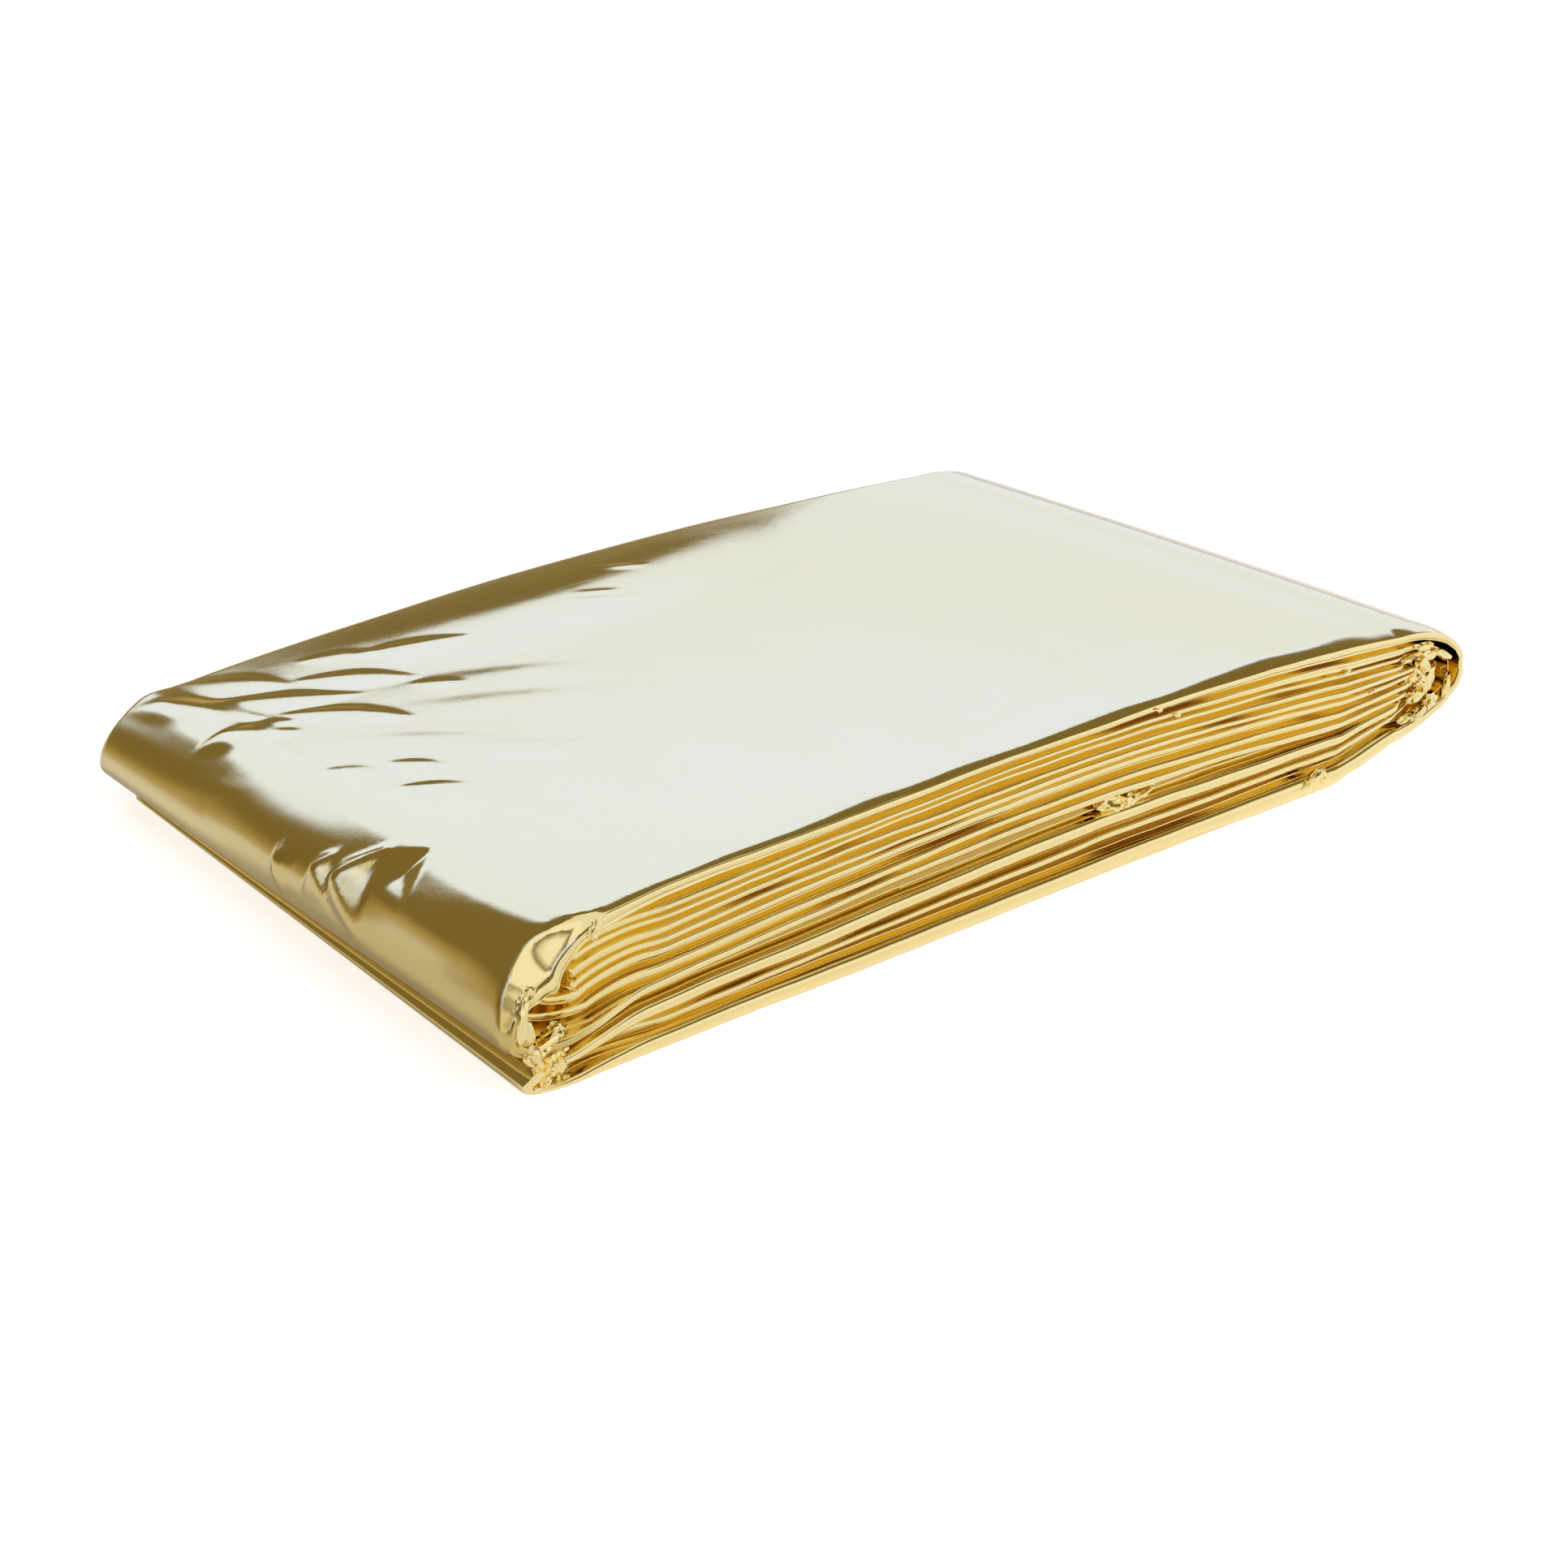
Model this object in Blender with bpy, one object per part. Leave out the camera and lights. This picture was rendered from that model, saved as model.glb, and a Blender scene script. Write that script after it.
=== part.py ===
"""Emergency foil blanket, folded into a flat packet and lying on a level surface.

The blanket is one sheet of metallised film, 2.10 m by 1.60 m. It is pleated across into a narrow strip. The
strip is doubled twice, and the doubled strip is folded over in thirds, which stacks twelve layers of strip.
The solid is that strip: one ribbon that runs to and fro through its twelve layers, a little apart. Both of
its cut ends are tucked in at the heart of the packet.

Frame: origin under the middle of the packet, on the surface that it rests on. +X runs along the packet to
the end where the outer layers turn round all the others, +Y to its back edge, +Z up. Metres.
"""

import math
from collections import namedtuple

import bmesh
import bpy

MM = 0.001

# The cut sheet's width and its pleats, which give the strip its width and the packet its depth.
CUT_WIDTH = 2100 * MM
PLEATS = 24
STRIP_WIDTH = CUT_WIDTH / PLEATS
HALF_DEPTH = STRIP_WIDTH / 2

LAYER_GAP = 0.36 * MM
EDGE_REACH = 0.80  # how far a layer's rolled edge reaches, in half thicknesses of the layer

# The underside is flat up to here, and then lifts towards the right-hand turn.
LIFT_START = 46.5 * MM
LIFT_SLOPE = 0.27

# Heights of the packet along it: x, and the top's height at the front edge and at the back edge.
Station = namedtuple("Station", "x front back")
STATIONS = (
    Station(-68.0 * MM, 15.9 * MM, 10.9 * MM),
    Station(-60.0 * MM, 16.7 * MM, 11.5 * MM),
    Station(-51.0 * MM, 17.4 * MM, 12.3 * MM),
    Station(-36.0 * MM, 17.9 * MM, 13.4 * MM),
    Station(-14.0 * MM, 18.3 * MM, 14.7 * MM),
    Station(14.0 * MM, 18.6 * MM, 15.1 * MM),
    Station(33.0 * MM, 18.2 * MM, 14.9 * MM),
    Station(46.0 * MM, 17.6 * MM, 14.6 * MM),
    Station(60.0 * MM, 16.1 * MM, 13.9 * MM),
    Station(68.0 * MM, 15.0 * MM, 13.2 * MM),
)
CROWN = 1.7  # over 1, the top stays high from the front edge and falls mostly near the back edge

# The layers from the top down: the height that each takes at the left end, in the middle and at the right
# end, which are scaled together to the packet's height, and how far its front and back edges are drawn in.
LEFT_END = -60.0 * MM
RIGHT_END = 60.0 * MM
Layer = namedtuple("Layer", "left middle right front back")
LAYERS = (
    Layer(1.60 * MM, 1.25 * MM, 1.40 * MM, 0.35 * MM, 0.9 * MM),
    Layer(1.15 * MM, 1.15 * MM, 1.20 * MM, 0.10 * MM, 0.4 * MM),
    Layer(1.05 * MM, 1.15 * MM, 1.10 * MM, 0.55 * MM, 1.3 * MM),
    Layer(1.20 * MM, 1.20 * MM, 1.15 * MM, 0.20 * MM, 0.6 * MM),
    Layer(1.20 * MM, 1.20 * MM, 1.15 * MM, 0.05 * MM, 1.0 * MM),
    Layer(1.35 * MM, 1.35 * MM, 1.15 * MM, 0.60 * MM, 0.2 * MM),
    Layer(1.60 * MM, 1.60 * MM, 1.15 * MM, 0.25 * MM, 1.2 * MM),
    Layer(1.55 * MM, 1.55 * MM, 1.15 * MM, 0.45 * MM, 0.7 * MM),
    Layer(2.15 * MM, 2.50 * MM, 1.25 * MM, 0.00 * MM, 0.5 * MM),
    Layer(1.30 * MM, 1.75 * MM, 1.25 * MM, 0.50 * MM, 1.4 * MM),
    Layer(1.15 * MM, 1.25 * MM, 1.15 * MM, 1.20 * MM, 1.7 * MM),
    Layer(1.60 * MM, 2.45 * MM, 2.00 * MM, -0.30 * MM, 0.3 * MM),
)

# Towards the packet's left end its layers part into two bundles, each closed by its own turns. A bundle's end
# droops, and its back corner lies further to the right than its front corner, by these amounts at its nose.
Bundle = namedtuple("Bundle", "last_layer droop skew")
BUNDLES = (Bundle(8, 2.4 * MM, 0.2 * MM), Bundle(12, 1.5 * MM, 2.2 * MM))
DROOP_START = -60.0 * MM
SKEW_START = -48.0 * MM
BUNDLE_END = -70.0 * MM

# Each turn joins two layers, numbered from the top: where the turn starts, how far its nose reaches along the
# packet, and how far the nose draws the strip's front and back edges in.
Turn = namedtuple("Turn", "upper lower start nose front back")
LEFT_TURNS = (
    Turn(1, 8, -60.6 * MM, -70.7 * MM, 1.2 * MM, 1.4 * MM),
    Turn(2, 7, -61.2 * MM, -68.3 * MM, 2.4 * MM, 2.0 * MM),
    Turn(3, 6, -62.0 * MM, -66.3 * MM, 1.9 * MM, 2.2 * MM),
    Turn(4, 5, -62.5 * MM, -63.6 * MM, 2.2 * MM, 1.8 * MM),
    Turn(9, 12, -62.8 * MM, -68.9 * MM, 0.2 * MM, 3.8 * MM),
    Turn(10, 11, -63.6 * MM, -64.7 * MM, 1.6 * MM, 3.4 * MM),
)
RIGHT_TURNS = (
    Turn(1, 12, 56.0 * MM, 69.2 * MM, 0.1 * MM, 1.6 * MM),
    Turn(2, 11, 56.2 * MM, 67.7 * MM, 0.8 * MM, 2.2 * MM),
    Turn(3, 10, 56.4 * MM, 64.9 * MM, 1.4 * MM, 2.0 * MM),
    Turn(4, 9, 56.6 * MM, 63.4 * MM, 1.1 * MM, 1.6 * MM),
    Turn(5, 6, 59.4 * MM, 60.4 * MM, 1.5 * MM, 1.4 * MM),
)

# The strip's way through its layers, from one cut end to the other, and where those two ends lie.
ROUTE = (8, 1, 12, 9, 4, 5, 6, 3, 10, 11, 2, 7)
FIRST_HEADING = -1
CUT_ENDS = {8: 58.4 * MM, 7: 59.2 * MM}

# The places along the packet where every layer that reaches there has a section.
RUN_STATIONS = tuple(x * MM for x in (-60.0, -50.0, -38.0, -22.0, -4.0, 14.0, 32.0, 46.5, 55.0))
WIDE_TURN_STEPS = 12
NARROW_TURN_STEPS = 8
WIDE_TURN = 7.0 * MM
EDGE_STEPS = 4
ACROSS = (-0.6, -0.2, 0.2, 0.6)  # the lines along a face between its edges, as shares of the half depth

GOLD = (0.91, 0.70, 0.30, 1.0)

Section = namedtuple("Section", "x z thickness front back skew")


def smooth_between(x, xs, values):
    """The value at x of a smooth curve through the table, level with its neighbours' chord at each station."""
    x = min(max(x, xs[0]), xs[-1])
    slopes = []
    for i in range(len(xs)):
        low = max(i - 1, 0)
        high = min(i + 1, len(xs) - 1)
        slopes.append((values[high] - values[low]) / (xs[high] - xs[low]))
    i = next(k for k in range(len(xs) - 1) if x <= xs[k + 1])
    width = xs[i + 1] - xs[i]
    t = (x - xs[i]) / width
    start = values[i] * (2 * t**3 - 3 * t**2 + 1) + slopes[i] * width * (t**3 - 2 * t**2 + t)
    end = values[i + 1] * (3 * t**2 - 2 * t**3) + slopes[i + 1] * width * (t**3 - t**2)
    return start + end


def front_height(x):
    """The top's height at the packet's front edge."""
    return smooth_between(x, [s.x for s in STATIONS], [s.front for s in STATIONS])


def back_share(x):
    """The top's height at the packet's back edge, as a share of that at the front."""
    return smooth_between(x, [s.x for s in STATIONS], [s.back for s in STATIONS]) / front_height(x)


def underside(x):
    """The underside's height: flat, then lifting towards the right-hand turn."""
    return max(0.0, (x - LIFT_START) * LIFT_SLOPE)


def layer_height(layer, x):
    """The height that a layer takes at x, before the layers are scaled to the packet's height."""
    xs = (LEFT_END, 0.0, RIGHT_END)
    return smooth_between(x, xs, (layer.left, layer.middle, layer.right))


def end_share(x, start):
    """How far x has come from the start to the left end of the bundles, as a share that sets in softly."""
    return max(0.0, (start - x) / (start - BUNDLE_END)) ** 2


def bundle_of(number):
    """The bundle that holds a layer."""
    return next(bundle for bundle in BUNDLES if number <= bundle.last_layer)


def droop(number, x):
    """How far a layer has dropped at x."""
    return bundle_of(number).droop * end_share(x, DROOP_START)


def skew(number, x):
    """How much further to the right a layer lies at its back edge than at its front edge, at x."""
    return bundle_of(number).skew * end_share(x, SKEW_START)


def layer_span(number, x):
    """The bottom and top of a layer at x, at the front edge, with half of the gap off each side."""
    heights = [layer_height(layer, x) for layer in LAYERS]
    scale = (front_height(x) - underside(x)) / sum(heights)
    low = underside(x) + scale * sum(heights[number:])
    high = low + scale * heights[number - 1]
    rests = number == len(LAYERS)
    return low + (0.0 if rests else LAYER_GAP / 2), high - LAYER_GAP / 2


def run_section(number, x):
    """The strip's section where it lies in a layer."""
    low, high = layer_span(number, x)
    layer = LAYERS[number - 1]
    z = (low + high) / 2 - droop(number, x)
    return Section(x, z, high - low, layer.front, layer.back, skew(number, x))


def mix(a, b, t):
    """The value a share t of the way from a to b."""
    return a + (b - a) * t


def turn_sections(turn, entering, leaving, side):
    """The sections round a turn, from the layer that the strip leaves to the one that it enters.

    The turn is half an ellipse from one layer to the other, with its nose to the left (side -1) or to the
    right (side 1).
    """
    first = run_section(entering, turn.start)
    last = run_section(leaving, turn.start)
    steps = WIDE_TURN_STEPS if abs(turn.nose - turn.start) > WIDE_TURN else NARROW_TURN_STEPS
    nose_thickness = min(first.thickness, last.thickness)
    reach = abs(turn.nose - turn.start) - nose_thickness / 2
    middle = (first.z + last.z) / 2
    half = (first.z - last.z) / 2
    sections = []
    for i in range(1, steps):
        t = i / steps
        angle = math.pi * (0.5 - t)
        bulge = math.cos(angle)
        x = turn.start + side * reach * bulge
        sections.append(
            Section(
                x,
                middle + half * math.sin(angle) - droop(entering, x) + droop(entering, turn.start),
                mix(mix(first.thickness, last.thickness, t), nose_thickness, bulge),
                mix(mix(first.front, last.front, t), turn.front, bulge),
                mix(mix(first.back, last.back, t), turn.back, bulge),
                skew(entering, x),
            )
        )
    return sections


def strip_sections():
    """Every section of the strip, in order, from one cut end to the other."""
    turns = {}
    starts = {}
    for side, group in ((-1, LEFT_TURNS), (1, RIGHT_TURNS)):
        for turn in group:
            turns[frozenset((turn.upper, turn.lower))] = turn
            starts[turn.upper, side] = turn.start
            starts[turn.lower, side] = turn.start
    for number, x in CUT_ENDS.items():
        starts[number, 1] = x
    sections = []
    heading = FIRST_HEADING
    for number, following in zip(ROUTE, ROUTE[1:] + (None,)):
        begin = starts[number, -heading]
        end = starts[number, heading]
        between = [x for x in RUN_STATIONS[::heading] if min(begin, end) < x < max(begin, end)]
        sections += [run_section(number, x) for x in (begin, *between, end)]
        if following:
            turn = turns[frozenset((number, following))]
            sections += turn_sections(turn, number, following, heading)
        heading = -heading
    return sections


def normals_along(sections):
    """The direction square to the strip at each section, halfway between those of its two neighbours."""
    directions = []
    for here, there in zip(sections, sections[1:]):
        length = math.hypot(there.x - here.x, there.z - here.z)
        directions.append(((there.x - here.x) / length, (there.z - here.z) / length))
    normals = []
    for before, after in zip(directions[:1] + directions, directions + directions[-1:]):
        along_x = before[0] + after[0]
        along_z = before[1] + after[1]
        length = math.hypot(along_x, along_z)
        normals.append((-along_z / length, along_x / length))
    return normals


def profile(section):
    """The points (y, offset) round the strip at a section: the front edge, one face, the back edge, the other."""
    half = section.thickness / 2
    reach = half * EDGE_REACH
    front = -HALF_DEPTH + section.front + reach
    back = HALF_DEPTH - section.back - reach
    quarter = math.pi / 2
    edge_angles = [math.pi * i / EDGE_STEPS for i in range(EDGE_STEPS + 1)]
    points = [(front + reach * math.cos(a + quarter), half * math.sin(a + quarter)) for a in edge_angles]
    points += [(share * HALF_DEPTH, -half) for share in ACROSS]
    points += [(back + reach * math.cos(a - quarter), half * math.sin(a - quarter)) for a in edge_angles]
    points += [(share * HALF_DEPTH, half) for share in reversed(ACROSS)]
    return points


def ring(section, normal):
    """The strip's outline at a section, in space, lowered towards the packet's back edge."""
    lean = back_share(section.x)
    points = []
    for y, offset in profile(section):
        depth = (y + HALF_DEPTH) / STRIP_WIDTH
        drop = 1 + (lean - 1) * max(depth, 0.0) ** CROWN
        x = section.x + normal[0] * offset + section.skew * (depth - 0.5)
        z = (section.z + normal[1] * offset) * drop
        points.append((x, y, max(z, 0.0)))
    return points


def centred(rings):
    """The rings, moved so that the middle of the packet's box lies over the origin."""
    points = [point for outline in rings for point in outline]
    middle_x = (min(p[0] for p in points) + max(p[0] for p in points)) / 2
    middle_y = (min(p[1] for p in points) + max(p[1] for p in points)) / 2
    return [[(x - middle_x, y - middle_y, z) for x, y, z in outline] for outline in rings]


def strip_mesh():
    """The folded strip as one closed mesh."""
    sections = strip_sections()
    rings = centred([ring(*pair) for pair in zip(sections, normals_along(sections))])
    mesh = bmesh.new()
    rows = [[mesh.verts.new(point) for point in outline] for outline in rings]
    count = len(rows[0])
    for row, following in zip(rows, rows[1:]):
        for i in range(count):
            j = (i + 1) % count
            mesh.faces.new((row[i], row[j], following[j], following[i]))
    mesh.faces.new(rows[0][::-1])
    mesh.faces.new(rows[-1])
    bmesh.ops.recalc_face_normals(mesh, faces=mesh.faces)
    return mesh


def gold_film():
    """The blanket's metallised face."""
    material = bpy.data.materials.new("gold_film")
    material.use_nodes = True
    shader = material.node_tree.nodes["Principled BSDF"]
    shader.inputs["Base Color"].default_value = GOLD
    shader.inputs["Metallic"].default_value = 1.0
    shader.inputs["Roughness"].default_value = 0.12
    return material


def main():
    for old in list(bpy.data.objects):
        bpy.data.objects.remove(old)
    mesh = strip_mesh()
    data = bpy.data.meshes.new("foil_blanket")
    mesh.to_mesh(data)
    mesh.free()
    data.materials.append(gold_film())
    data.shade_smooth()
    blanket = bpy.data.objects.new("foil_blanket", data)
    bpy.context.scene.collection.objects.link(blanket)


main()
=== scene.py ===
"""Looks of the emergency foil blanket: the folded strip of gold film, its creases, and the studio it lies in.

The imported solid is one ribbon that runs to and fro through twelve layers. The film here lies on the same
folds. It is one fine mesh of that ribbon, with the rolled edges of its pleats and the creases of its outer
layer. Two smaller pieces hold the crushed bits of film and the single plies between the rolls. +X runs along
the packet and +Z is up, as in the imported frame. Lengths are in metres, apart from those that are said to be
in millimetres.
"""

import logging
import math
from dataclasses import dataclass, field, replace
from enum import Enum

import bmesh
import bpy
import numpy as np
from mathutils import Matrix, Vector, noise

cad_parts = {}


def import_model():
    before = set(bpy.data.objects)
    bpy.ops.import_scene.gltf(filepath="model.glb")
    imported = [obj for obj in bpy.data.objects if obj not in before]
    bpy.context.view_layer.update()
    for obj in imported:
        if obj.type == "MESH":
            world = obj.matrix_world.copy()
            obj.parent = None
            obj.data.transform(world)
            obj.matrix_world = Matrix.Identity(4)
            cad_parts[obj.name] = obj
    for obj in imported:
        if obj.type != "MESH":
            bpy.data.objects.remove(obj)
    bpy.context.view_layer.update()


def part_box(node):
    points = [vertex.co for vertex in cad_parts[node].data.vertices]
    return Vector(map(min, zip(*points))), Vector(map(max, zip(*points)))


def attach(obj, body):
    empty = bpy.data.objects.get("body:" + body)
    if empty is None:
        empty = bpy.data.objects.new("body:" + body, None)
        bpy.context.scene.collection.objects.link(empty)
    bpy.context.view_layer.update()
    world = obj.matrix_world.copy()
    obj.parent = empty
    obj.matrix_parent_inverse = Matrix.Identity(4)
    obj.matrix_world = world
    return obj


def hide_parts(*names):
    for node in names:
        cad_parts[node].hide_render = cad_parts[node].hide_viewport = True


MM = 0.001
NODE = "foil_blanket"
SLOT = "gold_film"
BODY = "root"
SHADE = "shade"
FILM_MAP = "film"
LOG = logging.getLogger("foil_blanket")

Amount = float | np.ndarray
Span = tuple[float, float]
Colour = tuple[float, float, float, float]


def millimetres(*sizes: float) -> tuple[float, ...]:
    """These sizes in metres, from millimetres."""
    return tuple(size * MM for size in sizes)


def smooth_between(x: float, xs: tuple[float, ...], values: tuple[float, ...]) -> float:
    """The value at x of a smooth curve through a table, held level beyond its ends.

    Args:
        x: where to read the curve.
        xs: the table's stations, rising.
        values: the value at each station.

    Returns:
        The value at x.
    """
    x = min(max(x, xs[0]), xs[-1])
    slopes = []
    for i in range(len(xs)):
        low = max(i - 1, 0)
        high = min(i + 1, len(xs) - 1)
        slopes.append((values[high] - values[low]) / (xs[high] - xs[low]))
    i = next(k for k in range(len(xs) - 1) if x <= xs[k + 1])
    width = xs[i + 1] - xs[i]
    t = (x - xs[i]) / width
    start = values[i] * (2 * t**3 - 3 * t**2 + 1) + slopes[i] * width * (t**3 - 2 * t**2 + t)
    end = values[i + 1] * (3 * t**2 - 2 * t**3) + slopes[i + 1] * width * (t**3 - t**2)
    return start + end


def mix(a: Amount, b: Amount, t: Amount) -> Amount:
    """The value a share t of the way from a to b."""
    return a + (b - a) * t


def eased(t: Amount) -> Amount:
    """A share from 0 to 1 that sets in and ends softly."""
    t = np.clip(t, 0.0, 1.0)
    return t * t * (3 - 2 * t)


@dataclass(frozen=True)
class Station:
    """The packet's height at one place along it, at its front edge and at its back edge."""

    x: float
    front: float
    back: float


@dataclass(frozen=True)
class Layer:
    """One layer of the strip: where its top lies at the three gauging stations, and its front edge's form.

    The edge shows a bright roll of film. Below the roll a slit of the given height runs in between the plies.
    Then come the inner plies, whose face slopes back by slope from a lip that is set back by lip. The last
    two sizes say how far the layer stays in from the packet's front and back.
    """

    left: float
    middle: float
    right: float
    roll: float
    slit: float
    slope: float
    lip: float
    front: float
    back: float


@dataclass(frozen=True)
class Bundle:
    """The layers up to last_layer that end together at the left, how far they droop and how far they skew."""

    last_layer: int
    droop: float
    skew: float


@dataclass(frozen=True)
class Turn:
    """A turn that joins two layers: where it starts, how far its nose reaches and how far its edges draw in.

    A squareness of 1 gives half an ellipse, and a lower one a squarer nose.
    """

    upper: int
    lower: int
    start: float
    nose: float
    front: float
    back: float
    step: float
    squareness: float = 1.0


def turn_of(upper: int, lower: int, *sizes: float, squareness: float = 1.0) -> Turn:
    """A turn between two layers, with its sizes in millimetres."""
    return Turn(upper, lower, *millimetres(*sizes), squareness)


class Columns(Enum):
    """How finely the outward face of a stretch of strip is divided across: its column spacing."""

    COARSE = 16.0 * MM
    MEDIUM = 2.4 * MM
    FINE = 0.56 * MM


@dataclass
class Section:
    """The strip's cross-section at one place on its way through the packet."""

    x: float
    z: float
    thickness: float
    front: float
    back: float
    skew: float
    roll: float
    slit: float
    slope: float
    lip: float
    heading: int
    # hidden is 1 where the faces lie inside the packet and take painted shade, 0 where they show outside.
    hidden: float
    columns: Columns
    number: int = 0
    roundness: float = 0.0
    film_x: float = 0.0


@dataclass
class PacketForm:
    """The sizes of the folded packet, from the photograph's front and top, and the way the strip takes."""

    half_depth: float = 43.75 * MM
    crown: float = 1.7
    lift_start: float = 46.5 * MM
    lift_slope: float = 0.27
    gap: float = 0.36 * MM
    gauges: tuple[float, ...] = millimetres(-58.0, 0.0, 55.0)
    stations: tuple[Station, ...] = tuple(Station(*millimetres(*row)) for row in (
        (-68.0, 15.9, 10.9),
        (-60.0, 16.7, 11.5),
        (-51.0, 17.4, 12.3),
        (-36.0, 17.9, 13.4),
        (-14.0, 18.3, 14.7),
        (14.0, 18.6, 15.1),
        (33.0, 18.2, 14.9),
        (46.0, 17.6, 14.6),
        (60.0, 16.1, 13.9),
        (68.0, 15.0, 13.2),
    ))
    layers: tuple[Layer, ...] = tuple(Layer(*millimetres(*row)) for row in (
        (16.80, 18.50, 16.65, 0.90, 0.00, 0.10, 0.10, 0.35, 0.90),
        (15.10, 17.42, 15.25, 0.50, 0.00, 0.10, 0.10, 0.10, 0.40),
        (14.05, 16.62, 13.90, 0.50, 0.10, 0.40, 0.35, 0.35, 1.30),
        (13.15, 15.42, 13.00, 0.54, 0.00, 0.10, 0.10, 0.20, 0.60),
        (11.90, 14.50, 12.05, 0.62, 0.00, 0.20, 0.30, 0.05, 1.00),
        (10.65, 13.42, 11.05, 0.80, 0.30, 1.30, 0.50, 0.40, 0.20),
        (8.95, 11.60, 10.00, 0.76, 0.16, 0.50, 0.40, 0.20, 1.20),
        (7.30, 10.20, 8.75, 0.84, 0.46, 2.00, 0.90, 0.30, 0.70),
        (5.20, 7.35, 7.65, 1.50, 0.40, 0.50, 1.20, 0.00, 0.50),
        (3.40, 4.85, 6.20, 0.84, 0.46, 0.30, 1.60, 0.40, 1.40),
        (2.50, 3.10, 5.05, 0.22, 0.05, 0.10, 0.20, 1.00, 1.70),
        (1.90, 2.52, 4.55, 2.32, 0.00, 0.10, 0.10, -0.30, 0.30),
    ))
    bundles: tuple[Bundle, ...] = (Bundle(8, 2.4 * MM, 0.2 * MM), Bundle(12, 1.5 * MM, 2.2 * MM))
    bundle_tops: tuple[int, ...] = (1, 9)
    tucked_layers: tuple[int, ...] = (2, 3, 4, 5, 6, 7, 10, 11)
    tuck: float = 1.7 * MM
    tuck_start: float = -52.0 * MM
    tuck_length: float = 10.0 * MM
    droop_start: float = -60.0 * MM
    skew_start: float = -48.0 * MM
    bundle_end: float = -70.0 * MM
    settle_front: float = 0.14
    settle_back: float = 0.22
    settle_start: float = -55.0 * MM
    settle_length: float = 10.0 * MM
    nose_lift: float = 2.2 * MM
    left_turns: tuple[Turn, ...] = (
        turn_of(1, 8, -60.6, -70.7, 1.2, 1.4, 0.5),
        turn_of(2, 7, -61.2, -68.3, 6.0, 2.0, 0.7),
        turn_of(3, 6, -62.0, -66.3, 5.4, 2.2, 0.6),
        turn_of(4, 5, -62.5, -63.6, 5.0, 1.8, 0.4),
        turn_of(9, 12, -62.8, -68.5, 0.6, 3.8, 0.4, squareness=0.55),
        turn_of(10, 11, -63.6, -64.7, 4.0, 3.4, 0.4),
    )
    right_turns: tuple[Turn, ...] = (
        turn_of(1, 12, 56.0, 69.2, 0.1, 1.6, 0.5),
        turn_of(2, 11, 56.2, 67.3, 1.0, 2.2, 0.8),
        turn_of(3, 10, 56.4, 64.9, 2.8, 2.0, 0.8),
        turn_of(4, 9, 56.6, 63.4, 3.4, 1.6, 0.8),
        turn_of(5, 6, 59.4, 60.4, 2.6, 1.4, 0.4),
    )
    left_wall: float = 1.5 * MM
    right_wall: float = 0.8 * MM
    route: tuple[int, ...] = (8, 1, 12, 9, 4, 5, 6, 3, 10, 11, 2, 7)
    first_heading: int = -1
    cut_ends: tuple[tuple[int, float], ...] = ((8, 58.4 * MM), (7, 59.2 * MM))

    def table(self, column: str) -> tuple[float, ...]:
        """One column of the stations' table."""
        return tuple(getattr(station, column) for station in self.stations)

    def front_height(self, x: float) -> float:
        """The top's height at the packet's front edge."""
        return smooth_between(x, self.table("x"), self.table("front"))

    def back_share(self, x: float) -> float:
        """The top's height at the back edge, as a share of that at the front."""
        return smooth_between(x, self.table("x"), self.table("back")) / self.front_height(x)

    def underside(self, x: float) -> float:
        """The underside's height: flat, then lifting towards the right-hand turn."""
        return max(0.0, (x - self.lift_start) * self.lift_slope)

    def layer_top(self, number: int, x: float) -> float:
        """The height of a layer's top at the front edge, worked out as a share of the packet's height.

        Args:
            number: the layer, counted from the top, or one more than the last for the underside.
            x: the place along the packet.

        Returns:
            The height.
        """
        under = self.underside(x)
        if number > len(self.layers):
            return under
        layer = self.layers[number - 1]
        shares = []
        for gauge, top in zip(self.gauges, (layer.left, layer.middle, layer.right)):
            low = self.underside(gauge)
            shares.append((top - low) / (self.front_height(gauge) - low))
        share = smooth_between(x, self.gauges, tuple(shares)) if number > 1 else 1.0
        return under + share * (self.front_height(x) - under)

    def end_share(self, x: float, start: float) -> float:
        """How far x has come from the start to the left end, as a share that sets in softly."""
        return max(0.0, (start - x) / (start - self.bundle_end)) ** 2

    def tucked(self, number: int, x: float) -> float:
        """How far a layer's front edge has drawn in at x, before it turns at the left."""
        tuck = self.tuck if number in self.tucked_layers else 0.0
        return tuck * float(eased((self.tuck_start - x) / self.tuck_length))

    def bundle(self, number: int) -> Bundle:
        """The bundle that holds a layer."""
        return next(bundle for bundle in self.bundles if number <= bundle.last_layer)

    def droop(self, number: int, x: float) -> float:
        """How far a layer has dropped at x."""
        return self.bundle(number).droop * self.end_share(x, self.droop_start)

    def skew(self, number: int, x: float) -> float:
        """How much further to the right a layer lies at its back edge than at its front, at x."""
        return self.bundle(number).skew * self.end_share(x, self.skew_start)

    def settled(self, x: float, z: np.ndarray, depth: np.ndarray, drop: np.ndarray) -> np.ndarray:
        """The heights of points at the left end, where the upper bundle presses the lower one down.

        Args:
            x: the place along the packet.
            z: the points' heights.
            depth: how far back each point lies, as a share of the packet's depth.
            drop: the top's height at each point, as a share of that at the front edge.

        Returns:
            The new heights.
        """
        whole = self.front_height(x) * drop
        share = np.clip(z / whole, 0.0, 1.0)
        depth = np.clip(depth, 0.0, 1.0)
        pressed = float(eased((self.settle_start - x) / self.settle_length))
        pressed *= mix(self.settle_front, self.settle_back, depth)
        lift = self.nose_lift * min(self.end_share(x, self.droop_start), 1.0) * depth**2
        return z - 4 * pressed * share * (1 - share) * whole + lift * share


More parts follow.
